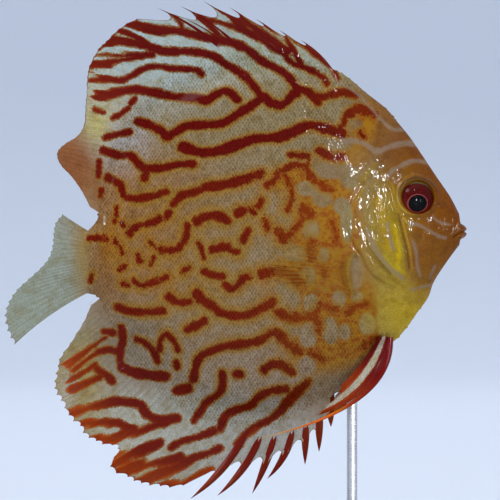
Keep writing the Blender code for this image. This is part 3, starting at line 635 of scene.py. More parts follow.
def relief(points_px):
    """How far the forms of the head stand out of the plain flank."""
    distance, share, sign = nearest(points_px, GILL_REAR_PX)
    inside = sign * distance
    ends = ramp(share, 0, 0.10) * (1 - ramp(share, 0.93, 1))
    total = 0.34 * MM * ramp(inside, -0.3, 1.5) * (1 - ramp(inside, 5, 30)) * ends
    total -= 0.22 * MM * hump(inside + 1.3, 1.2) * ends
    for line, rise_here, width in (
        (CHEEK_RIDGE_PX, 0.32, 1.7), (MIDDLE_RIDGE_PX, 0.30, 1.8), (UPPER_RIDGE_PX, 0.22, 1.5),
        (LOOP_RIDGE_PX, 0.18, 1.4), (CHEEK_GROOVE_PX, -0.24, 1.2), (LOWER_SLIT_PX, -0.26, 1.3),
        (JAW_FOLD_PX, -0.10, 1.2), (PECTORAL_ROOT_PX, 0.35, 3.2),
    ):
        total += line_relief(points_px, line, rise_here * MM, width)
    mouth = nearest(points_px, MOUTH_PX)[0]
    total -= 0.45 * MM * hump(mouth, 0.8)
    total += 0.10 * MM * hump(mouth - 2.6, 1.5)
    pit = np.hypot(points_px[..., 0] - NOSTRIL_PX[0], points_px[..., 1] - NOSTRIL_PX[1])
    total += (0.07 * hump(pit - 2.2, 0.9) - 0.35 * hump(pit, 1.0)) * MM
    eye = np.hypot(points_px[..., 0] - EYE_CENTRE_PX[0], points_px[..., 1] - EYE_CENTRE_PX[1])
    total -= 1.3 * MM * (1 - ramp(eye, 13.5, 18.5))
    column = points_px[..., 0]
    row = points_px[..., 1]
    waves = np.sin(0.21 * column + 0.13 * row) * np.sin(0.17 * row - 0.08 * column)
    return total + 0.03 * MM * waves


def skin_half(points_px):
    """How far the skin lies from the plane of symmetry at places within the body."""
    x = along(points_px[..., 0])
    z = height(points_px[..., 1])
    coat = COAT_DEPTH * ramp(behind_border(points_px), -2, 6)
    half = flank(x, z) - coat + relief(points_px)
    finned = ramp(points_px[..., 0], 98, 110) * (1 - ramp(points_px[..., 0], 318, 342))
    eased = FIN_ROOT_HALF + (half - FIN_ROOT_HALF) * ramp(-from_edge(points_px), -3, EASE_PX)
    return half + (np.minimum(eased, half) - half) * finned


def fin_half(outside_px):
    """Half the thickness of a fin along the back or belly, so far out of the body."""
    thick = hump(np.maximum(outside_px, 0), FIN_ROOT_REACH_PX)
    return WEB_HALF + (FIN_ROOT_HALF - WEB_HALF) * thick


def piece(name, points, faces, finish, values=None, corner_uvs=None, sharp_degrees=None):
    """A mesh object that rides with the part, with values at its points and a map for baking."""
    mesh = bpy.data.meshes.new(name)
    mesh.from_pydata(np.asarray(points).tolist(), [], np.asarray(faces).tolist())
    for key, data in (values or {}).items():
        data = np.asarray(data, np.float32)
        if data.ndim == 1:
            mesh.attributes.new(key, "FLOAT", "POINT").data.foreach_set("value", data)
        else:
            colours = np.concatenate([data, np.ones((len(data), 1), np.float32)], axis=1)
            mesh.attributes.new(key, "FLOAT_COLOR", "POINT").data.foreach_set("color", colours.ravel())
    if corner_uvs is not None:
        layer = mesh.uv_layers.new(name="OFBake")
        layer.data.foreach_set("uv", np.asarray(corner_uvs, np.float32).ravel())
    mesh.shade_smooth()
    if sharp_degrees is not None:
        mesh.set_sharp_from_angle(angle=math.radians(sharp_degrees))
    mesh.materials.append(finish)
    made = bpy.data.objects.new(name, mesh)
    bpy.context.scene.collection.objects.link(made)
    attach(made, "root")
    return made


LEVELS = 200
HEAD_COLUMN = 345.0
SNOUT_COLUMN = 457.0
SNOUT_ROUNDING_PX = 6.5
STALK_ROUNDING_PX = 2.5
RIDGE_RISE = 0.12 * MM
MOUTH_ROW = 231.5
SKIN_STRETCH = 0.96


def body_stations():
    """Columns of the sections of the skin, closer together on the head."""
    return np.concatenate([
        STALK_END_COLUMN - STALK_ROUNDING_PX * np.array([1.0, 0.9, 0.6]),
        np.arange(STALK_END_COLUMN, HEAD_COLUMN, 3.1),
        np.arange(HEAD_COLUMN, SNOUT_COLUMN, 1.0),
        np.arange(SNOUT_COLUMN, LIP_COLUMN - 0.6, 0.6),
        LIP_COLUMN - np.array([0.45, 0.2, 0.08, 0.0]),
    ])


def skin():
    """The one skin of head, trunk and tail stalk, with its points for the coat's own map."""
    columns = body_stations()
    t = np.linspace(0, 1, LEVELS + 1)
    level = 0.62 * (1 - 2 * t) + 0.38 * np.cos(math.pi * t)
    x = along(columns)[:, None]
    top = read(BACK, along(columns))[:, None]
    bottom = read(BELLY, along(columns))[:, None]
    z = (top + bottom) / 2 + level * (top - bottom) / 2
    x = np.broadcast_to(x, z.shape)
    points_px = pixel_of(np.stack([x, z], axis=-1))
    snout = np.clip((columns - LIP_COLUMN + SNOUT_ROUNDING_PX) / SNOUT_ROUNDING_PX, 0, 1)
    stalk = np.clip((STALK_END_COLUMN - columns) / STALK_ROUNDING_PX, 0, 1)
    closing = (np.sqrt(1 - snout ** 2) * np.sqrt(1 - stalk ** 2))[:, None]
    half = skin_half(points_px) * closing
    row = points_px[..., 1]
    lips = 2.4 * hump(row - MOUTH_ROW, 1.3) + 2.4 * np.abs((row - MOUTH_ROW) / 5.6) ** 2.6
    x = x - PIXEL * lips * ramp(points_px[..., 0], 459, LIP_COLUMN)
    rings = []
    ring_px = []
    cap_turns = np.radians([45, 90, 135])
    for side in (-1, 1):
        order = slice(None) if side < 0 else slice(None, None, -1)
        rings.append(np.stack([x, side * half, z], axis=-1)[:, order])
        ring_px.append(points_px[:, order])
        end = -1 if side < 0 else 0
        way = -1 if side < 0 else 1
        for turn in cap_turns:
            cap = np.stack([
                x[:, end], side * half[:, end] * math.cos(turn),
                z[:, end] + way * RIDGE_RISE * closing[:, 0] * math.sin(turn),
            ], axis=-1)
            rings.append(cap[:, None])
            ring_px.append(points_px[:, end][:, None])
    rings = np.concatenate(rings, axis=1)
    ring_px = np.concatenate(ring_px, axis=1)
    count = rings.shape[1]
    station, index = np.mgrid[0:len(columns) - 1, 0:count]
    after = (index + 1) % count
    faces = np.stack([
        station * count + index, (station + 1) * count + index,
        (station + 1) * count + after, station * count + after,
    ], axis=-1).reshape(-1, 4)
    across = (columns - columns[0]) / (columns[-1] - columns[0])
    corners = np.stack([
        np.stack([across[station], index / count], axis=-1),
        np.stack([across[station + 1], index / count], axis=-1),
        np.stack([across[station + 1], (index + 1) / count], axis=-1),
        np.stack([across[station], (index + 1) / count], axis=-1),
    ], axis=2).reshape(-1, 2) * SKIN_STRETCH + 0.02
    points = rings.reshape(-1, 3)
    points_px = ring_px.reshape(-1, 2)
    right = markings(points_px, -1)
    left = markings(points_px, 1)
    right["ground"] = streaked(points_px, right["ground"])
    left["ground"] = streaked(points_px, left["ground"])
    is_left = points[:, 1] > 0
    values = {}
    for key in right:
        choose = is_left if right[key].ndim == 1 else is_left[:, None]
        values[key] = np.where(choose, left[key], right[key])
    finish = skin_finish("wet_skin")
    made = piece("skin", points, faces, finish, values, corners)
    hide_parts("head", "trunk", "tail_stalk", "gill_cover_right", "gill_cover_left")
    return made


def add(tree, kind, values=None, **settings):
    """A node with its settings; a value that is a socket is linked to the input."""
    made = tree.nodes.new(kind)
    for key, value in settings.items():
        setattr(made, key, value)
    for key, value in (values or {}).items():
        if isinstance(value, bpy.types.NodeSocket):
            tree.links.new(value, made.inputs[key])
        else:
            made.inputs[key].default_value = value
    return made


def rgba(colour):
    """A colour with full cover."""
    return (*[float(part) for part in colour], 1.0)


def new_finish(name):
    """A material, its node tree and its shader."""
    made = bpy.data.materials.new(name)
    made.use_nodes = True
    tree = made.node_tree
    return made, tree, tree.nodes["Principled BSDF"]


def number_at(tree, name):
    """A number kept at the points of the mesh."""
    return add(tree, "ShaderNodeAttribute", attribute_name=name).outputs["Fac"]


def colour_at(tree, name):
    """A colour kept at the points of the mesh."""
    return add(tree, "ShaderNodeAttribute", attribute_name=name).outputs["Color"]


def noise(tree, size, detail=2.0, roughness=0.6, squeeze=None):
    """Soft noise whose forms have about the given size, finer where it is squeezed."""
    spot = add(tree, "ShaderNodeTexCoord").outputs["Object"]
    if squeeze is not None:
        spot = add(tree, "ShaderNodeMapping", {"Vector": spot, "Scale": squeeze}).outputs["Vector"]
    values = {"Vector": spot, "Scale": 1.0 / size, "Detail": detail, "Roughness": roughness}
    return add(tree, "ShaderNodeTexNoise", values).outputs["Fac"]


def calculate(tree, operation, first, second=0.0, third=0.0):
    """One step of arithmetic on numbers or sockets."""
    return add(tree, "ShaderNodeMath", {0: first, 1: second, 2: third}, operation=operation).outputs[0]


def between(tree, value, start, end, low=0.0, high=1.0):
    """A smooth step of a value from low at the start to high at the end."""
    values = {"Value": value, "From Min": start, "From Max": end, "To Min": low, "To Max": high}
    return add(tree, "ShaderNodeMapRange", values, interpolation_type="SMOOTHSTEP").outputs["Result"]


def blend(tree, factor, first, second, kind="MIX"):
    """A mix of two colours."""
    values = {"Factor": factor, "A": first, "B": second}
    made = tree.nodes.new("ShaderNodeMix")
    made.data_type = "RGBA"
    made.blend_type = kind
    sockets = {"Factor": made.inputs[0], "A": made.inputs[6], "B": made.inputs[7]}
    for key, value in values.items():
        if isinstance(value, bpy.types.NodeSocket):
            tree.links.new(value, sockets[key])
        else:
            sockets[key].default_value = value
    return made.outputs[2]


def tinted(tree, factor, colour, tint):
    """A colour multiplied by a tint, as far as the factor says."""
    return blend(tree, factor, colour, rgba(tint), "MULTIPLY")


def coat_colour(tree):
    """The skin's ground with golden places, its bands with golden borders, and pale lines."""
    fine = noise(tree, 0.30 * MM, 3.0)
    patches = noise(tree, 2.2 * MM, 2.0)
    golden_here = number_at(tree, "golden")
    uneven = calculate(tree, "MULTIPLY_ADD", fine, 4.6, -2.3)
    wilder = calculate(tree, "MULTIPLY_ADD", golden_here, 1.0, 1.0)
    band = calculate(tree, "MULTIPLY_ADD", uneven, wilder, number_at(tree, "band"))
    embers = noise(tree, 1.1 * MM, 3.0, 0.7)
    blotches = calculate(tree, "MULTIPLY_ADD", embers, 26.0, -13.0)
    wildness = calculate(tree, "MULTIPLY_ADD", golden_here, 0.90, 0.14)
    band = calculate(tree, "MULTIPLY_ADD", blotches, wildness, band)
    ground = tinted(tree, between(tree, fine, 0.42, 0.64), colour_at(tree, "ground"), (1.30, 1.30, 1.36))
    ground = tinted(tree, between(tree, patches, 0.42, 0.70), ground, (0.84, 0.76, 0.60))
    gold = blend(tree, golden_here, rgba(seen(156, 114, 36)), rgba(seen(170, 114, 10)))
    ember_share = calculate(tree, "MULTIPLY", golden_here, between(tree, embers, 0.44, 0.62, 0.0, 0.85))
    gold = blend(tree, ember_share, gold, rgba(seen(146, 52, 6)))
    halo = between(tree, band, number_at(tree, "halo_reach"), 0.4, 0.0, 0.90)
    spread = calculate(tree, "MULTIPLY_ADD", uneven, 0.10, golden_here)
    halo = calculate(tree, "MAXIMUM", halo, between(tree, spread, 0.22, 0.72, 0.0, 0.92))
    colour = blend(tree, halo, ground, gold)
    tone = colour_at(tree, "band_tone")
    inner = between(tree, band, -1.0, -3.2, 0.0, 0.35)
    inner = calculate(tree, "MULTIPLY", inner, between(tree, golden_here, 0.1, 0.7, 1.0, 0.2))
    deep = blend(tree, inner, tone, rgba(seen(98, 3, 2)))
    deep = tinted(tree, between(tree, fine, 0.40, 0.62), deep, (0.86, 0.74, 0.74))
    colour = blend(tree, between(tree, band, 1.6, -1.4), colour, deep)
    line_edge = calculate(tree, "MULTIPLY_ADD", fine, 4.0, -2.0)
    line_edge = calculate(tree, "MULTIPLY_ADD", patches, 2.4, line_edge)
    line = calculate(tree, "ADD", number_at(tree, "pale_line"), line_edge)
    pale = calculate(tree, "MULTIPLY", between(tree, line, 2.6, 0.0, 0.0, 0.78), between(tree, fine, 0.36, 0.60, 0.55, 1.0))
    return blend(tree, pale, colour, rgba(seen(150, 128, 104)))


def wet(shader, coat=0.30):
    """The gloss of a wet surface: a thin clear film over a dull colour."""
    shader.inputs["Roughness"].default_value = 0.60
    shader.inputs["IOR"].default_value = 1.40
    shader.inputs["Specular IOR Level"].default_value = 0.02
    shader.inputs["Coat Weight"].default_value = coat
    shader.inputs["Coat Roughness"].default_value = 0.05
    shader.inputs["Coat IOR"].default_value = 1.38


def skin_finish(name):
    """The finish of the skin between and in front of the scales."""
    made, tree, shader = new_finish(name)
    colour = coat_colour(tree)
    pores = noise(tree, 0.22 * MM, 2.0)
    colour = tinted(tree, between(tree, pores, 0.54, 0.72), colour, (0.76, 0.66, 0.50))
    tree.links.new(colour, shader.inputs["Base Color"])
    wet(shader, 0.38)
    bumps = add(tree, "ShaderNodeBump", {"Height": pores, "Strength": 0.22, "Distance": 0.06 * MM})
    tree.links.new(bumps.outputs["Normal"], shader.inputs["Normal"])
    film = noise(tree, 1.9 * MM, 1.5, 0.5, (1.2, 1.2, 0.6))
    ripples = add(tree, "ShaderNodeBump", {"Height": film, "Strength": 1.0, "Distance": 0.38 * MM})
    tree.links.new(ripples.outputs["Normal"], shader.inputs["Coat Normal"])
    return made


def scale_finish(name):
    """The finish of the scales: painted shade along each free edge and a painted highlight before it."""
    made, tree, shader = new_finish(name)
    colour = coat_colour(tree)
    rim = number_at(tree, "rim")
    # rim: painted shade towards each scale's free edge, and a painted highlight where it is low; a random tone for each
    # scale is in it too
    colour = tinted(tree, between(tree, rim, 0.45, 1.0), colour, (0.64, 0.58, 0.48))
    colour = tinted(tree, between(tree, rim, 0.30, 0.0), colour, (1.16, 1.16, 1.16))
    tree.links.new(colour, shader.inputs["Base Color"])
    wet(shader, 0.11)
    return made


SCALE_PITCH_PX = 3.4
SCALE_ROW_SHARE = 0.84
SCALE_LENGTH = 1.02
SCALE_WIDTH = 0.66
SCALE_LIFT = 0.17 * MM
SCALE_SINK = 0.05 * MM
SCALE_THICKNESS = 0.05 * MM
SCALE_CORNERS = 10
SCALES_PER_PIECE = 4500
DORSAL_SCALES_PX = 12.0
ANAL_SCALES_PX = 9.0
SEED = 7


def scale_roots(side):
    """Places of the scales of one flank, in rows like bricks, a little uneven."""
    rng = np.random.default_rng(SEED + side)
    rows = np.arange(40, 440, SCALE_PITCH_PX * SCALE_ROW_SHARE)
    columns = np.arange(84, 440, SCALE_PITCH_PX)
    across, down = np.meshgrid(columns, rows)
    across = across + SCALE_PITCH_PX / 2 * (np.arange(len(rows)) % 2)[:, None]
    bend = 7.0 * np.sin((across - 84) / 120.0) + 0.05 * (across - 250) * (down - 240) / 90.0
    points = np.stack([across, down + bend], axis=-1).reshape(-1, 2)
    points += rng.normal(0, 0.08 * SCALE_PITCH_PX, points.shape)
    outside = from_edge(points)
    reach = np.where(points[:, 1] < 240, DORSAL_SCALES_PX, ANAL_SCALES_PX)
    high = ramp(points[:, 0], 100, 125) * (1 - ramp(points[:, 0], 262, 318))
    reach = (reach + rng.normal(0, 1.5, len(points))) * high - 1.2
    kept = (outside < reach) & (behind_border(points) > 0.5) & (points[:, 0] > 91)
    return points[kept]


def coat_half(points_px):
    """How far the surface under the scales lies from the plane of symmetry."""
    outside = from_edge(points_px)
    return np.where(outside < 0, skin_half(points_px), fin_half(outside))


def scale_template():
    """Places of the points of one scale along and across it, with height, rim and faces; rim sets the painted shade of
    the free edge.
    """
    turn = np.arange(SCALE_CORNERS) / SCALE_CORNERS * 2 * math.pi
    rim_along = np.cos(turn)
    rim_across = np.sin(turn) * (1 - 0.12 * rim_along)
    spread = [(0.0, 0.0)]
    spread += list(zip(0.62 * rim_along, 0.62 * rim_across))
    spread += list(zip(rim_along, rim_across))
    spread += [(0.0, 0.0)]
    spread = np.array(spread)
    lift = SCALE_LIFT * (spread[:, 0] + 1) / 2 - SCALE_SINK
    domed = 0.02 * MM * (1 - np.hypot(spread[:, 0], spread[:, 1]) ** 2)
    lift += domed
    lift[-1] -= SCALE_THICKNESS + domed[-1]
    # rim rises from the middle to the free edge and is full on the underside, for the painted shade
    rim = ramp(spread[:, 0], 0.15, 0.95)
    rim[-1] = 1.0
    inner = 1
    outer = 1 + SCALE_CORNERS
    under = 1 + 2 * SCALE_CORNERS
    faces = []
    for index in range(SCALE_CORNERS):
        after = (index + 1) % SCALE_CORNERS
        faces.append((0, inner + index, inner + after))
        faces.append((inner + index, outer + index, outer + after))
        faces.append((inner + index, outer + after, inner + after))
        faces.append((under, outer + after, outer + index))
    return spread, lift, rim, np.array(faces)


def scales(side, finish):
    """The scales of one flank, in a few joined meshes."""
    roots = scale_roots(side)
    roots = roots[np.lexsort((roots[:, 1], roots[:, 0]))]
    spread, lift, rim, template = scale_template()
    count = len(spread)
    rng = np.random.default_rng(SEED * 3 + side)
    size = SCALE_PITCH_PX * (1 + rng.normal(0, 0.03, len(roots)))
    back = from_edge(roots)
    size *= 1 - 0.25 * ramp(back, -2, 10) - 0.15 * (1 - ramp(behind_border(roots), 4, 26))
    slant = np.radians(8) * (roots[:, 1] - 240) / 120 + rng.normal(0, 0.05, len(roots))
    unit_along = np.stack([-np.cos(slant), np.sin(slant)], axis=-1)
    unit_across = np.stack([-unit_along[:, 1], unit_along[:, 0]], axis=-1)
    points_px = (
        roots[:, None]
        + size[:, None, None] * SCALE_LENGTH * spread[None, :, :1] * unit_along[:, None]
        + size[:, None, None] * SCALE_WIDTH * spread[None, :, 1:] * unit_across[:, None]
    )
    uneven = 1 + rng.normal(0, 0.18, len(roots))
    uneven *= 0.35 + 0.65 * ramp(behind_border(roots), 2, 34)
    fade = ramp(behind_border(roots), 6, 60)
    tone = rng.normal(0.10, 0.14, len(roots)) * fade + 0.2 * (1 - fade)
    half = coat_half(points_px) + lift[None] * uneven[:, None]
    points = np.stack([
        along(points_px[..., 0]), side * half, height(points_px[..., 1]),
    ], axis=-1)
    across = (roots[:, 0] - 84) / (LIP_COLUMN - 84)
    down = (height(roots[:, 1]) - read(BELLY, along(roots[:, 0])))
    down = down / (read(BACK, BACK[:, 0]) - read(BELLY, BACK[:, 0])).max()
    root_uv = np.stack([0.02 + 0.96 * across, 0.02 + 0.46 * np.clip(down, 0, 1)], axis=-1)
    root_uv[:, 1] += 0.5 if side > 0 else 0.0
    uvs = root_uv[:, None] + 0.0015 * spread[None]
    word = "right" if side < 0 else "left"
    for part, first in enumerate(range(0, len(roots), SCALES_PER_PIECE)):
        chosen = slice(first, first + SCALES_PER_PIECE)
        flat = points[chosen].reshape(-1, 3)
        flat_px = points_px[chosen].reshape(-1, 2)
        faces = template[None] + count * np.arange(len(points[chosen]))[:, None, None]
        faces = faces.reshape(-1, 3)
        if side > 0:
            faces = faces[:, ::-1]
        values = markings(flat_px, side)
        # rim: how far the painted shade of the free edge reaches, less towards the head, plus a random tone for each
        # scale
        values["rim"] = (rim[None] * fade[chosen, None] + tone[chosen, None]).ravel()
        corners = uvs[chosen].reshape(-1, 2)[faces.ravel()]
        name = "scales_" + word + "_" + str(part + 1)
        piece(name, flat, faces, finish, values, corners, 50)


# Tips of the fin rays, each fin from front to back
DORSAL_SPINE_TIPS_PX = [(301, 40), (279, 30), (256, 19), (229, 7), (203, 1), (180, 6), (157, 8)]
DORSAL_RAY_TIPS_PX = [
    (135, 18), (118, 29), (106, 41), (98, 49), (89, 66), (87, 77), (86, 92), (85, 107), (84, 124),
    (77, 136), (66, 143), (58, 150), (57, 158), (62, 167), (70, 175), (77, 184), (84, 195),
    (90, 207),
]
ANAL_SPINE_TIPS_PX = [
    (331, 427), (319, 452), (305, 465), (267, 479), (252, 494), (217, 496), (190, 499),
]
ANAL_SPINE_BOWS = [0.0, 0.02, 0.0, 0.22, 0.07, 0.17, 0.14]
ANAL_RAY_TIPS_PX = [
    (178, 490), (159, 487), (140, 484), (126, 478), (108, 468), (117, 449), (101, 445), (87, 439),
    (78, 427), (67, 416), (60, 401), (53, 389), (55, 374), (58, 360), (69, 344), (82, 324),
    (91, 305),
]
TAIL_RAY_TIPS_PX = [
    (62, 214), (55, 223), (53, 234), (52, 246), (48, 258), (40, 268), (28, 279), (16, 290),
    (8, 302), (4, 316), (7, 331), (14, 345),
]
PECTORAL_TIPS_PX = [
    (312, 243), (295, 245), (281, 250), (273, 258), (270, 267), (272, 276), (280, 284), (294, 289),
    (311, 292),
]
PECTORAL_ROOTS_PX = [(355, 253), (350, 263), (349, 275), (351, 286), (355, 295)]
PELVIC_ROOTS_PX = [(389, 337), (384, 336), (378, 337)]
PELVIC_TIPS_PX = [(253, 438), (316, 412), (335, 397), (339, 386)]
PELVIC_BENDS_PX = [(393, 409), (372, 390), (364, 376), (362, 364)]


class Rays:
    """Bent rays of a fin: the roots, the control points and the tips, from front to back."""

    def __init__(self, roots, tips, bows=None, bends=None):
        self.roots = np.asarray(roots, float)
        self.tips = np.asarray(tips, float)
        if bends is None:
            chord = self.tips - self.roots
            sideways = np.stack([-chord[:, 1], chord[:, 0]], axis=-1)
            bends = (self.roots + self.tips) / 2 + sideways * np.asarray(bows)[:, None]
        self.bends = np.asarray(bends, float)

    def at(self, u, v):
        """Points a share v out along the rays, where u counts the rays and may lie between."""
        ends = [
            self.between_rays(points, u)[..., None, :]
            for points in (self.roots, self.bends, self.tips)
        ]
        v = v[..., None]
        return ends[0] * (1 - v) ** 2 + 2 * ends[1] * v * (1 - v) + ends[2] * v ** 2

    def between_rays(self, points, u):
        """Points of a smooth line through the given ones, at places between them."""
        line = np.vstack([2 * points[0] - points[1], points, 2 * points[-1] - points[-2]])
        index = np.clip(np.floor(u).astype(int), 0, len(points) - 2)
        t = (u - index)[:, None]
        before, start, end, after = (line[index + offset] for offset in range(4))
        return 0.5 * (
            2 * start + (end - before) * t + (2 * before - 5 * start + 4 * end - after) * t ** 2
            + (3 * start - before - 3 * end + after) * t ** 3
        )


WEB_ROWS = 44
RAY_COLUMNS = 8
FRAY = 2.2


def web(rays, fine, reach, middle, half, tint_side, fray=0.0):
    """A fin's thin web with its raised, branching rays: points, faces and values.

    There are so many fine rays for each given one. reach(u) says how far out the web goes, and
    fray how much the bands widen towards the margin.
    """
    last = len(rays.tips) - 1
    u = np.linspace(0, last, int(last * fine * RAY_COLUMNS) + 1)
    share = np.linspace(0, 1, WEB_ROWS + 1)
    v = share[None] * reach(u)[:, None]
    flat = rays.at(u, v)
    fine_place = u * fine
    cell = fine_place - np.round(fine_place)
    fork = 0.24 * np.clip((share - 0.35) / 0.65, 0, 1)
    ridge = hump(np.abs(cell)[:, None] - fork[None], 0.11)
    points_px = pixel_of(flat)
    thick = half(flat, points_px, v, ridge)
    centre = middle(flat, points_px, u[:, None], v)
    sheets = [np.stack([flat[..., 0], centre + sign * thick, flat[..., 1]], axis=-1)
              for sign in (-1, 1)]
    rings = np.concatenate([sheets[0], sheets[1][:, ::-1]], axis=1)
    count = rings.shape[1]
    column, index = np.mgrid[0:len(u) - 1, 0:count]
    after = (index + 1) % count
    faces = np.stack([
        column * count + index, column * count + after,
        (column + 1) * count + after, (column + 1) * count + index,
    ], axis=-1).reshape(-1, 4)
    rows = np.arange(WEB_ROWS)
    for edge in (0, len(u) - 1):
        start = edge * count
        cap = np.stack([start + rows, start + rows + 1, start + count - 2 - rows,
                        start + count - 1 - rows], axis=-1)
        faces = np.vstack([faces, cap if edge else cap[:, ::-1]])
    length = np.linalg.norm(np.diff(flat, axis=1), axis=2).sum(axis=1)
    inward = (reach(u)[:, None] * length[:, None] / PIXEL) * (1 - share[None])
    values = markings(points_px.reshape(-1, 2), tint_side)
    values = {key: data.reshape(flat.shape[:2] + data.shape[1:]) for key, data in values.items()}
    rng = np.random.default_rng(SEED + len(u))
    steps = np.interp(u * fine * 2, np.arange(last * fine * 2 + 1), rng.normal(0, 1.0, last * fine * 2 + 1))
    values["band"] = values["band"] + FRAY * (steps[:, None] - fray) * ramp(share, 0.4, 1.0)[None]
    values["ray"] = ridge
    values["out"] = v
    values["from_margin"] = inward
    doubled = {}
    for key, data in values.items():
        both = np.concatenate([data, data[:, ::-1]], axis=1)
        doubled[key] = both.reshape((-1,) + both.shape[2:])
    return rings.reshape(-1, 3), faces, doubled


def blade(root, bend, tip, width, thickness, middle, side=1, sections=22, power=1.0, fullness=1.6):
    """One tapered spine with a lens-shaped section: points, faces and values."""
    root, bend, tip = (np.asarray(point, float) for point in (root, bend, tip))
    t = np.linspace(0, 1, sections)
    v = (t ** power)[:, None]
    line = root * (1 - v) ** 2 + 2 * bend * v * (1 - v) + tip * v ** 2
    direction = np.gradient(line, axis=0)
    direction /= np.linalg.norm(direction, axis=1)[:, None]
    sideways = np.stack([-direction[:, 1], direction[:, 0]], axis=1)
    turns = np.arange(10) / 10 * 2 * math.pi
    taper = 1 - t ** fullness
    flat = line[:, None] + sideways[:, None] * np.cos(turns)[None, :, None] * (
        width / 2 * taper)[:, None, None]
    depth = middle(line)[:, None] + np.sin(turns)[None] * (thickness / 2 * taper ** 0.6)[:, None]
    rings = np.stack([flat[..., 0], depth, flat[..., 1]], axis=-1)
    count = len(turns)
    section, index = np.mgrid[0:sections - 1, 0:count]
    after = (index + 1) % count
    faces = np.stack([
        section * count + index, section * count + after,
        (section + 1) * count + after, (section + 1) * count + index,
    ], axis=-1).reshape(-1, 4)
    points_px = pixel_of(flat)
    values = markings(points_px.reshape(-1, 2), side)
    edge = np.abs(np.cos(turns)) ** 3
    values["band"] = np.broadcast_to(-4.0 + 4.6 * edge[None], flat.shape[:2]).ravel()
    values["ray"] = np.ones(len(points_px.reshape(-1, 2)))
    values["out"] = np.broadcast_to(t[:, None], flat.shape[:2]).ravel()
    values["from_margin"] = np.full(len(values["out"]), 60.0)
    return rings.reshape(-1, 3), faces, values


def joined(parts):
    """Several sets of points, four-cornered faces and values as one."""
    points = []
    faces = []
    start = 0
    for part_points, part_faces, part_values in parts:
        points.append(part_points)
        faces.append(part_faces + start)
        start += len(part_points)
    values = {
        key: np.concatenate([part[2][key] for part in parts]) for key in parts[0][2]
    }
    return np.concatenate(points), np.concatenate(faces), values


# How far light passes the fins: column, row, reach in columns and rows, and the share
SHEER_PLACES = [
    (72, 162, 22, 34, 0.14), (92, 120, 14, 26, 0.14), (66, 395, 18, 60, 0.50), (40, 290, 60, 70, 0.55),
    (130, 482, 50, 12, 0.35), (250, 455, 80, 26, 0.22), (200, 15, 90, 18, 0.22),
]


def sheerness(points_px):
    """How far light passes through a fin at places of the side view."""
    total = np.zeros(len(points_px))
    for column, row, across, down, share in SHEER_PLACES:
        weight = np.exp(-((points_px[:, 0] - column) / across) ** 2
                        - ((points_px[:, 1] - row) / down) ** 2)
        total = np.maximum(total, share * weight)
    return total


def fin_finish(name, ray_clearness=0.45, clearest=0.95):
    """The finish of a fin: its markings over a clear web, with rays that are less clear."""
    made, tree, shader = new_finish(name)
    colour = coat_colour(tree)
    ray = number_at(tree, "ray")
    ray_shade = between(tree, ray, 0.25, 0.95, 0.0, 0.8)
    colour = tinted(tree, ray_shade, colour, (1.16, 1.06, 0.90))
    tree.links.new(colour, shader.inputs["Base Color"])
    sheer = number_at(tree, "sheer")
    band = number_at(tree, "band")
    hidden = between(tree, band, 1.5, -1.0, 0.0, 0.75)
    clear = calculate(tree, "MULTIPLY", sheer, calculate(tree, "SUBTRACT", 1.0, hidden))
    clear = calculate(tree, "MULTIPLY", clear, between(tree, ray, 0.2, 1.0, 1.0, ray_clearness))
    clear = calculate(tree, "MINIMUM", clear, clearest)
    tree.links.new(calculate(tree, "SUBTRACT", 1.0, clear), shader.inputs["Alpha"])
    wet(shader, 0.20)
    fine = noise(tree, 0.3 * MM, 2.0)
    bumps = add(tree, "ShaderNodeBump", {"Height": fine, "Strength": 0.12, "Distance": 0.05 * MM})
    tree.links.new(bumps.outputs["Normal"], shader.inputs["Normal"])
    return made


def beside(line, distance):
    """The line moved sideways by a distance, to the left of its own direction."""
    direction = np.gradient(line, axis=0)
    direction /= np.linalg.norm(direction, axis=1)[:, None]
    left = np.stack([-direction[:, 1], direction[:, 0]], axis=1)
    return line + left * distance


ROOT_DEPTH = 1.1 * MM
FINE_RAYS = 2
WAVE = 0.16 * MM


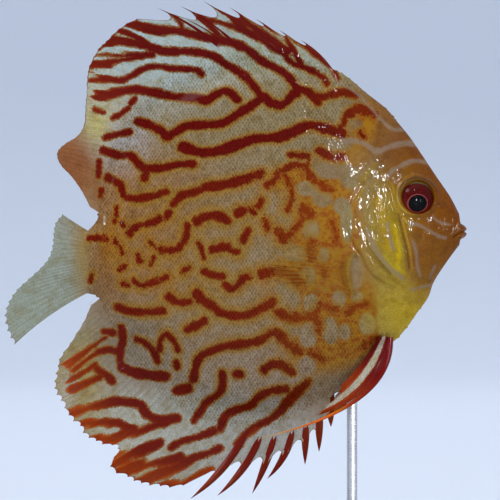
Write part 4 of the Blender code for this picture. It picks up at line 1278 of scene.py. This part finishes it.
def median_fin(name, base, spine_tips, ray_tips, spine_bows, ray_bow, crowding, width, free, ragged, glow, fullness, short):
    """The fin of the back or the belly: spines in front and soft, branched rays behind."""
    spines = len(spine_tips)
    tips = place(spine_tips + ray_tips)
    shares = 1 - (1 - np.linspace(0, 1, len(tips))) ** crowding
    roots = on_line(base, 0.01 + 0.98 * shares)
    bows = np.array(list(spine_bows) + [ray_bow] * len(ray_tips))
    rays = Rays(roots, tips, bows)
    rng = np.random.default_rng(SEED + len(ray_tips))
    jags = rng.normal(0, ragged / 3, 4 * FINE_RAYS * len(tips))

    def reach(u):
        soft = ramp(u, spines - 1.2, spines + 0.4)
        between_spines = np.abs(np.sin(math.pi * u))
        spiny = 1 - free - 0.20 * between_spines ** 0.8
        notch = ragged * np.abs(np.sin(math.pi * u * FINE_RAYS)) ** 0.7
        uneven = np.interp(u * FINE_RAYS, np.arange(len(jags)), jags)
        return spiny * (1 - soft) + (1 - notch - np.abs(uneven)) * soft

    def half(flat, points_px, v, ridge):
        outside = from_edge(points_px)
        thick = fin_half(outside)
        rise_here = RAY_HEIGHT * ridge * (1 - hump(np.maximum(outside, 0), 5)) * (1 - 0.6 * v)
        return thick * (1 - 0.45 * v ** 3) + rise_here

    def middle(flat, points_px, u, v):
        return WAVE * np.sin(0.9 * u + 3.0 * v) * v

    parts = [web(rays, FINE_RAYS, reach, middle, half, -1, glow)]
    extra = [(index, 1.0) for index in range(spines)]
    if short:
        extra += [(index + 0.5, short) for index in range(spines - 1)]
    for where, length in extra:
        u = np.array([where])
        root = rays.between_rays(rays.roots, u)[0]
        bend = rays.between_rays(rays.bends, u)[0]
        tip = rays.between_rays(rays.tips, u)[0]
        bend = root + (bend - root) * length
        tip = root + (tip - root) * length

        def spine_middle(line):
            return np.zeros(len(line))

        full = 1.0 if length == 1.0 else 0.62
        parts.append(blade(root, bend, tip, width * full, 0.75 * MM, spine_middle, fullness=fullness))
    points, faces, values = joined(parts)
    points_px = pixel_of(points[:, [0, 2]])
    values["sheer"] = sheerness(points_px)
    margin = hump(values["from_margin"], 1.6)
    edged = np.minimum(values["band"], 6.0 - 6.4 * margin)
    values["band"] = np.where(values["out"] > 0.5, edged, values["band"])
    glowing = (glow * hump(values["from_margin"], 20))[:, None]
    values["band_tone"] = values["band_tone"] * (1 - glowing) + seen(182, 74, 8) * glowing
    made = piece(name + "_web", points, faces, fin_finish(name + "_skin"), values)
    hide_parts(name)
    return made


def tail_fin():
    """The tail fin, clear and yellow, with fine rays that spread from the stalk."""
    x = along(STALK_END_COLUMN) + ROOT_DEPTH
    top = read(BACK, along(STALK_END_COLUMN)) - 2 * GAP
    bottom = read(BELLY, along(STALK_END_COLUMN)) + 2 * GAP
    tips = place(TAIL_RAY_TIPS_PX)
    shares = np.linspace(0, 1, len(tips))
    roots = np.stack([np.full(len(tips), x), top + (bottom - top) * shares], axis=-1)
    rays = Rays(roots, tips, 0.02 - 0.10 * shares)

    def reach(u):
        return 1 - 0.03 * np.abs(np.sin(math.pi * u * FINE_RAYS)) ** 0.7

    def half(flat, points_px, v, ridge):
        root_half = 0.80 * flank(np.full_like(flat[..., 0], along(STALK_END_COLUMN)), flat[..., 1])
        outside = np.maximum(STALK_END_COLUMN - points_px[..., 0], 0)
        thick = WEB_HALF + (root_half - WEB_HALF) * hump(outside, 10)
        return thick * (1 - 0.45 * v ** 2) + RAY_HEIGHT * ridge * (1 - hump(outside, 4)) * (1 - 0.6 * v)

    def middle(flat, points_px, u, v):
        return WAVE * np.sin(0.8 * u + 2.5 * v) * v

    points, faces, values = web(rays, FINE_RAYS, reach, middle, half, -1)
    points_px = pixel_of(points[:, [0, 2]])
    away = ramp(points_px[:, 0], 86, 60)
    values["sheer"] = 0.05 + 0.17 * away
    values["band"] = np.maximum(values["band"], 6 * ramp(points_px[:, 0], 88, 80))
    made = piece("tail_fin_web", points, faces, fin_finish("tail_skin"), values)
    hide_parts("tail_fin")
    return made


def pectoral_fin(side, finish):
    """The clear fin behind the gill cover, folded back over the flank."""
    word = "right" if side < 0 else "left"
    tips = place(PECTORAL_TIPS_PX)
    shares = np.linspace(0, 1, len(tips))
    roots = on_line(smooth(place(PECTORAL_ROOTS_PX)), shares)
    rays = Rays(roots, tips, 0.04 * (0.5 - shares))
    root_x = roots[:, 0].mean()

    def reach(u):
        return 1 - 0.05 * np.abs(np.sin(math.pi * u * FINE_RAYS)) ** 0.7

    def half(flat, points_px, v, ridge):
        return 0.10 * MM + 0.30 * MM * (1 - ramp(v, 0, 0.18)) + 0.09 * MM * ridge * (1 - 0.5 * v)

    def middle(flat, points_px, u, v):
        lift = 0.07 * np.maximum(0, root_x - flat[..., 0])
        wave = 0.12 * MM * np.sin(1.3 * u + 2.0 * v) * v
        return side * (flank(flat[..., 0], flat[..., 1]) + 0.45 * MM + lift + wave)

    points, faces, values = web(rays, FINE_RAYS, reach, middle, half, side)
    values["band"] = np.full(len(points), 8.0)
    values["pale_line"] = np.full(len(points), 8.0)
    values["golden"] = np.zeros(len(points))
    values["ground"] = np.tile(seen(176, 134, 40), (len(points), 1))
    values["sheer"] = 0.96 - 0.40 * (1 - ramp(values["out"], 0.0, 0.14))
    made = piece("pectoral_web_" + word, points, faces, finish, values)
    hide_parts("pectoral_fin_" + word)
    return made


def pelvic_fin(side, finish):
    """The narrow fin of the belly, with its dark front spine that ends in an orange thread."""
    word = "right" if side < 0 else "left"
    roots = on_line(smooth(place(PELVIC_ROOTS_PX)), np.linspace(0, 1, len(PELVIC_TIPS_PX)))
    tips = place(PELVIC_TIPS_PX)
    bends = place(PELVIC_BENDS_PX)
    short = np.vstack([place([(312, 416)]), tips[1:]])
    short_bends = np.vstack([place([(388, 394)]), bends[1:]])
    rays = Rays(roots, short, bends=short_bends)
    root_x, root_z = roots.mean(axis=0)

    def reach(u):
        return 1 - 0.06 * np.abs(np.sin(math.pi * u * FINE_RAYS)) ** 0.7

    def half(flat, points_px, v, ridge):
        return 0.18 * MM + 0.30 * MM * (1 - ramp(v, 0, 0.2)) + 0.12 * MM * ridge

    def depth(x, z):
        away = np.hypot(x - root_x, z - root_z)
        return side * np.maximum(flank(x, z) + 0.6 * MM, 2.5 * MM + 0.13 * away)

    def middle(flat, points_px, u, v):
        return depth(flat[..., 0], flat[..., 1])

    def spine_middle(line):
        return depth(line[:, 0], line[:, 1])

    parts = [web(rays, 3, reach, middle, half, side)]
    parts.append(blade(roots[0], bends[0], tips[0], 1.5 * MM, 1.0 * MM, spine_middle, side, 40, 1.2))
    points, faces, values = joined(parts)
    points_px = pixel_of(points[:, [0, 2]])
    web_count = len(parts[0][0])
    u_share = np.zeros(len(points))
    grid = u_share[:web_count].reshape(-1, 2 * (WEB_ROWS + 1))
    grid += np.linspace(0, 1, len(grid))[:, None]
    out = values["out"]
    web_band = -3.6 + 9.5 * hump(u_share - 0.50, 0.17)
    spine_band = -4.0 + 7.5 * ramp(out, 0.50, 0.80)
    values["band"] = np.where(np.arange(len(points)) < web_count, web_band, spine_band)
    values["pale_line"] = np.full(len(points), 8.0)
    values["golden"] = np.zeros(len(points))
    orange = ramp(out, 0.35, 0.75)[:, None]
    is_spine = (np.arange(len(points)) >= web_count)[:, None]
    thread = seen(206, 96, 20) * (1 - ramp(out, 0.8, 1.0)[:, None]) + seen(205, 170, 80) * ramp(
        out, 0.8, 1.0)[:, None]
    values["ground"] = np.where(is_spine, thread, seen(196, 184, 160))
    values["band_tone"] = seen(126, 14, 10) * (1 - orange) + seen(190, 70, 12) * orange
    values["sheer"] = np.where(is_spine[:, 0], 0.0, 0.15)
    made = piece("pelvic_web_" + word, points, faces, finish, values)
    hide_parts("pelvic_fin_" + word)
    return made


class EyePlace:
    """The frame of one eyeball: its middle, its outward direction and its two tangents."""

    def __init__(self, side):
        x, z = place(EYE_CENTRE_PX)
        self.side = side
        self.outward = np.array(flank_normal(x, z, side))
        self.surface = np.array([x, side * flank(x, z), z])
        ahead = np.array([1.0, 0.0, 0.0])
        ahead -= self.outward * (ahead @ self.outward)
        self.ahead = ahead / np.linalg.norm(ahead)
        up = np.array([0.0, 0.0, 1.0])
        up -= self.outward * (up @ self.outward) + self.ahead * (up @ self.ahead)
        self.up = up / np.linalg.norm(up)

    def at(self, column, row, out):
        """The place at a column and a row near the eye, so far out of the flank."""
        across = (np.asarray(column, float) - EYE_CENTRE_PX[0]) * PIXEL
        upward = (EYE_CENTRE_PX[1] - np.asarray(row, float)) * PIXEL
        return (self.surface + across[..., None] * self.ahead + upward[..., None] * self.up
                + np.asarray(out, float)[..., None] * self.outward)


def eyeball_height(column, row):
    """How far the front of the eyeball stands out of the flank at a column and a row."""
    far = np.hypot(column - EYE_CENTRE_PX[0], row - EYE_CENTRE_PX[1]) * PIXEL / EYE_RADIUS
    cap = np.sqrt(np.maximum(1 - far ** 2, 0))
    return EYE_BULGE - EYE_DEPTH / 2 + EYE_DEPTH / 2 * cap


def eye_finish():
    """A dark red iris with fine streaks and painted shade round its edge under the fold, a black pupil in a pale ring,
    and olive round it.
    """
    made, tree, shader = new_finish("eye_ball")
    pupil = number_at(tree, "from_pupil")
    iris = number_at(tree, "from_iris")
    streaks = noise(tree, 0.25 * MM, 3.0, 0.7)
    pupil = calculate(tree, "ADD", pupil, calculate(tree, "MULTIPLY_ADD", streaks, 0.5, -0.25))
    lower = number_at(tree, "lower")
    red = blend(tree, between(tree, streaks, 0.35, 0.7), rgba(seen(60, 4, 4)), rgba(seen(104, 14, 8)))
    rim = between(tree, iris, 9.0, 15.0, 0.0, 0.75)
    rim = calculate(tree, "MULTIPLY", rim, lower)
    red = blend(tree, rim, red, rgba(seen(146, 40, 24)))
    # painted shade where the fold of skin meets the eyeball
    red = blend(tree, between(tree, iris, 14.6, 15.6, 0.0, 0.8), red, rgba(seen(60, 14, 12)))
    outer = blend(tree, between(tree, iris, 15.4, 16.4), red, rgba(seen(120, 104, 60)))
    ring = between(tree, pupil, 9.7, 9.1)
    colour = blend(tree, ring, outer, rgba(seen(158, 70, 62)))
    colour = blend(tree, between(tree, pupil, 8.8, 8.2), colour, rgba(seen(6, 6, 7)))
    tree.links.new(colour, shader.inputs["Base Color"])
    wet(shader, 0.25)
    shader.inputs["Coat Roughness"].default_value = 0.02
    return made


def eye(side, finish):
    """One eyeball, flattened and set into the head."""
    word = "right" if side < 0 else "left"
    spot = EyePlace(side)
    turns = np.linspace(0, 2 * math.pi, 96, endpoint=False)
    polar = np.concatenate([np.linspace(0, math.pi / 2, 30), np.linspace(1.7, math.pi, 8)])
    polar, turn = np.meshgrid(polar, turns, indexing="ij")
    radius_px = EYE_RADIUS / PIXEL * np.sin(polar)
    column = EYE_CENTRE_PX[0] + 0.8 + 1.08 * radius_px * np.cos(turn)
    row = EYE_CENTRE_PX[1] - radius_px * np.sin(turn)
    out = EYE_BULGE - EYE_DEPTH / 2 + EYE_DEPTH / 2 * np.cos(polar)
    from_pupil = np.hypot(0.88 * (column - PUPIL_CENTRE_PX[0]), 1.06 * (row - PUPIL_CENTRE_PX[1]))
    out = out + 0.16 * MM * (1 - ramp(from_pupil, 2.0, 9.5)) * (polar < math.pi / 2)
    points = spot.at(column, row, out).reshape(-1, 3)
    rings, count = polar.shape
    ring, index = np.mgrid[0:rings - 1, 0:count]
    after = (index + 1) % count
    faces = np.stack([ring * count + index, (ring + 1) * count + index,
                      (ring + 1) * count + after, ring * count + after], axis=-1).reshape(-1, 4)
    values = {
        "from_pupil": from_pupil.ravel(),
        "from_iris": np.hypot(0.80 * (column - 417.6), row - 199.0).ravel(),
        "lower": ramp(row, 192, 212).ravel(),
    }
    made = piece("eyeball_" + word, points, faces, finish, values)
    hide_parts("eye_" + word)
    return made


def fold_finish():
    """The thin fold of skin round the eye: amber, olive over the top of the eyeball that is partly painted shade, and a
    painted shadow along its inner edge.
    """
    made, tree, shader = new_finish("eye_fold")
    colour = coat_colour(tree)
    olive = number_at(tree, "olive")
    # olive over the top of the eyeball: the skin's own colour, partly painted shade under the upper rim of the socket
    colour = blend(tree, olive, colour, rgba(seen(112, 98, 62)))
    # dark: painted shadow where the fold meets the eyeball, and a dark line at the edge of the olive over the top
    colour = blend(tree, number_at(tree, "dark"), colour, rgba(seen(58, 34, 20)))
    colour = blend(tree, number_at(tree, "yellow"), colour, rgba(seen(188, 150, 46)))
    tree.links.new(colour, shader.inputs["Base Color"])
    wet(shader, 0.42)
    return made


def eye_fold(side, finish):
    """The fold of skin between the eyeball and the head, wider over the top."""
    word = "right" if side < 0 else "left"
    spot = EyePlace(side)
    turns = np.linspace(0, 2 * math.pi, 128, endpoint=False)
    shares = np.linspace(0, 1, 25)
    share, turn = np.meshgrid(shares, turns, indexing="ij")
    circles = [
        (0.00, 417.8, 199.2, 19.2, 15.1),
        (0.55, ORBIT_CENTRE_PX[0] + 0.6, ORBIT_CENTRE_PX[1], ORBIT_RADIUS_PX + 0.6, ORBIT_RADIUS_PX),
        (1.00, ORBIT_CENTRE_PX[0], ORBIT_CENTRE_PX[1] + 1, 24.0, 24.0),
    ]
    stops = [circle[0] for circle in circles]
    centre_column, centre_row, reach_across, reach_up = (
        np.interp(share, stops, [circle[part] for circle in circles]) for part in (1, 2, 3, 4)
    )
    column = centre_column + reach_across * np.cos(turn)
    row = centre_row - reach_up * np.sin(turn)
    x = along(column)
    z = height(row)
    plain = np.stack([x, side * (flank(x, z) + 0.02 * MM), z], axis=-1)
    rise_here = 0.34 * MM * hump(share - 0.55, 0.20) - 0.16 * MM * ramp(share, 0.75, 1.0)
    plain[..., 1] += side * rise_here
    on_ball = spot.at(column, row, eyeball_height(column, row) - 0.03 * MM + 0.22 * MM * share)
    weight = ramp(share, 0.10, 0.50)[..., None]
    points = on_ball * (1 - weight) + plain * weight
    rings, count = share.shape
    ring, index = np.mgrid[0:rings - 1, 0:count]
    after = (index + 1) % count
    faces = np.stack([ring * count + index, (ring + 1) * count + index,
                      (ring + 1) * count + after, ring * count + after], axis=-1).reshape(-1, 4)
    points_px = np.stack([column, row], axis=-1).reshape(-1, 2)
    values = markings(points_px, side)
    upper = ramp(np.sin(turn - 0.4), -0.35, 0.35)
    # olive over the top: the skin's own colour, partly painted shade under the upper rim of the socket
    values["olive"] = (0.85 * (1 - ramp(share, 0.38, 0.55)) * upper).ravel()
    # painted shadow along the inner edge, where the fold meets the eyeball, and a dark line at the edge of the olive
    # over the top
    line = np.maximum(hump(share - 0.02, 0.05) * 0.8, 0.55 * hump(share - 0.40, 0.05) * upper)
    values["dark"] = line.ravel()
    rear = ramp(-np.cos(turn), 0.0, 0.8) * ramp(-np.sin(turn), -0.6, 0.2)
    values["yellow"] = (0.85 * rear * hump(share - 0.62, 0.13)).ravel()
    return piece("eye_fold_" + word, points.reshape(-1, 3), faces, finish, values)


def wood_finish():
    """Dark stained wood with a satin varnish."""
    made, tree, shader = new_finish("dark_wood")
    spot = add(tree, "ShaderNodeTexCoord").outputs["Object"]
    long_grain = add(tree, "ShaderNodeMapping", {"Vector": spot, "Scale": (60.0, 900.0, 900.0)})
    grain = add(tree, "ShaderNodeTexNoise", {
        "Vector": long_grain.outputs["Vector"], "Scale": 1.0, "Detail": 6.0, "Roughness": 0.65,
    }).outputs["Fac"]
    broad = add(tree, "ShaderNodeTexNoise", {
        "Vector": long_grain.outputs["Vector"], "Scale": 0.22, "Detail": 2.0,
    }).outputs["Fac"]
    colour = blend(tree, between(tree, grain, 0.35, 0.68), rgba(seen(84, 52, 32)), rgba(seen(128, 84, 52)))
    colour = blend(tree, between(tree, broad, 0.4, 0.65, 0.0, 0.5), colour, rgba(seen(70, 42, 26)))
    tree.links.new(colour, shader.inputs["Base Color"])
    tree.links.new(between(tree, grain, 0.3, 0.7, 0.42, 0.58), shader.inputs["Roughness"])
    shader.inputs["Specular IOR Level"].default_value = 0.30
    shader.inputs["Coat Weight"].default_value = 0.10
    shader.inputs["Coat Roughness"].default_value = 0.25
    bumps = add(tree, "ShaderNodeBump", {"Height": grain, "Strength": 0.12, "Distance": 0.1 * MM})
    tree.links.new(bumps.outputs["Normal"], shader.inputs["Normal"])
    return made


def steel_finish():
    """Brushed steel with fine lines round the rod."""
    made, tree, shader = new_finish("brushed_steel")
    spot = add(tree, "ShaderNodeTexCoord").outputs["Object"]
    lines = add(tree, "ShaderNodeMapping", {"Vector": spot, "Scale": (300.0, 300.0, 9000.0)})
    brushed = add(tree, "ShaderNodeTexNoise", {
        "Vector": lines.outputs["Vector"], "Scale": 1.0, "Detail": 3.0,
    }).outputs["Fac"]
    colour = blend(tree, brushed, rgba(seen(176, 178, 180)), rgba(seen(214, 214, 212)))
    tree.links.new(colour, shader.inputs["Base Color"])
    tree.links.new(between(tree, brushed, 0.3, 0.7, 0.22, 0.38), shader.inputs["Roughness"])
    shader.inputs["Metallic"].default_value = 1.0
    return made


def finish_stand():
    """Wood for the base and steel for the rod, both kept as packed."""
    for node, finish in (("stand_base", wood_finish()), ("stand_rod", steel_finish())):
        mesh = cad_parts[node].data
        mesh.materials.clear()
        mesh.materials.append(finish)


FLOOR_RADIUS = 1.7
BOWL_HEIGHT = 2.6


def studio():
    """A pale floor that curves up into a plain backdrop all round, and soft lights."""
    made, tree, shader = new_finish("pale_floor")
    shader.inputs["Base Color"].default_value = rgba(seen(214, 220, 230))
    shader.inputs["Roughness"].default_value = 0.7
    steps = np.concatenate([np.linspace(0, 1, 12) * 0.6, 0.6 + 0.4 * np.sin(np.linspace(0, math.pi / 2, 24)[1:])])
    rise_here = np.concatenate([np.zeros(12), 0.4 * (1 - np.cos(np.linspace(0, math.pi / 2, 24)[1:]))])
    profile = [(radius * FLOOR_RADIUS, up * FLOOR_RADIUS) for radius, up in zip(steps, rise_here)]
    profile.append((FLOOR_RADIUS, BOWL_HEIGHT))
    turns = np.linspace(0, 2 * math.pi, 96, endpoint=False)
    points = [(radius * math.cos(turn), radius * math.sin(turn), up)
              for radius, up in profile for turn in turns]
    count = len(turns)
    faces = []
    for ring in range(len(profile) - 1):
        for index in range(count):
            after = (index + 1) % count
            faces.append((ring * count + index, ring * count + after,
                          (ring + 1) * count + after, (ring + 1) * count + index))
    mesh = bpy.data.meshes.new("studio_floor")
    mesh.from_pydata(points, [], faces)
    mesh.shade_smooth()
    mesh.materials.append(made)
    floor = bpy.data.objects.new("studio_floor", mesh)
    floor.location = (0, 0, -0.0002)
    bpy.context.scene.collection.objects.link(floor)

    world = bpy.data.worlds.new("soft_room")
    world.use_nodes = True
    world.node_tree.nodes["Background"].inputs["Color"].default_value = (0.88, 0.93, 1.0, 1.0)
    world.node_tree.nodes["Background"].inputs["Strength"].default_value = 1.08
    bpy.context.scene.world = world

    for name, where, sizes, power, glint_only in (
        ("key", (-0.40, -0.62, 1.12), (0.45, 0.45), 7.4, False),
        ("rear", (0.10, 0.95, 0.80), (0.60, 0.60), 2.8, False),
        ("strip_ahead", (0.34, -0.80, 0.26), (0.03, 0.34), 8.5, True),
        ("strip_level", (0.66, -0.60, 0.20), (0.03, 0.30), 1.3, True),
        ("glint_above", (0.25, -0.45, 0.75), (0.04, 0.04), 1.0, True),
        ("glint_behind", (-0.40, -0.78, 0.24), (0.04, 0.04), 0.8, True),
    ):
        light = bpy.data.lights.new(name, "AREA")
        light.shape = "RECTANGLE"
        light.size, light.size_y = sizes
        light.energy = power
        lamp = bpy.data.objects.new(name, light)
        lamp.location = where
        aim = Vector((0, 0, 0.065)) - Vector(where)
        lamp.rotation_mode = "QUATERNION"
        lamp.rotation_quaternion = aim.to_track_quat("-Z", "Y")
        lamp.visible_camera = False
        lamp.visible_diffuse = not glint_only
        bpy.context.scene.collection.objects.link(lamp)
    bpy.context.scene.view_settings.view_transform = "Standard"


CAMERA_DISTANCE = 0.75
SENSOR_WIDTH = 36.0


def camera():
    """A long lens square to the fish, with the side view filling the picture."""
    lens = bpy.data.cameras.new("view")
    lens.sensor_width = SENSOR_WIDTH
    lens.lens = SENSOR_WIDTH * CAMERA_DISTANCE / (VIEW_PIXELS * PIXEL)
    lens.clip_start = 0.01
    lens.clip_end = 20.0
    made = bpy.data.objects.new("view", lens)
    x, z = place((VIEW_PIXELS / 2, VIEW_PIXELS / 2))
    made.location = (x, -CAMERA_DISTANCE, z)
    made.rotation_euler = (math.pi / 2, 0, 0)
    bpy.context.scene.collection.objects.link(made)
    bpy.context.scene.camera = made


def main():
    """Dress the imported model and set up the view."""
    camera()
    studio()
    finish_stand()
    skin()
    coat = scale_finish("scale_skin")
    side_fins = fin_finish("side_fin_skin", 0.74)
    ball = eye_finish()
    fold = fold_finish()
    for side in (-1, 1):
        scales(side, coat)
        pectoral_fin(side, side_fins)
        pelvic_fin(side, side_fins)
        eye(side, ball)
        eye_fold(side, fold)
    back_base = beside(stretch(BACK, DORSAL_START_COLUMN, DORSAL_END_COLUMN), ROOT_DEPTH)
    median_fin("dorsal_fin", back_base, DORSAL_SPINE_TIPS_PX, DORSAL_RAY_TIPS_PX,
               [-0.12] * len(DORSAL_SPINE_TIPS_PX), -0.05, 1.3, 1.2 * MM, 0.10, 0.010, 0.15, 1.6, 0.80)
    belly_base = beside(stretch(BELLY, ANAL_START_COLUMN, ANAL_END_COLUMN), -ROOT_DEPTH)
    median_fin("anal_fin", belly_base, ANAL_SPINE_TIPS_PX, ANAL_RAY_TIPS_PX, ANAL_SPINE_BOWS,
               0.08, 1.12, 1.9 * MM, 0.30, 0.035, 0.85, 3.6, 0.0)
    tail_fin()


main()
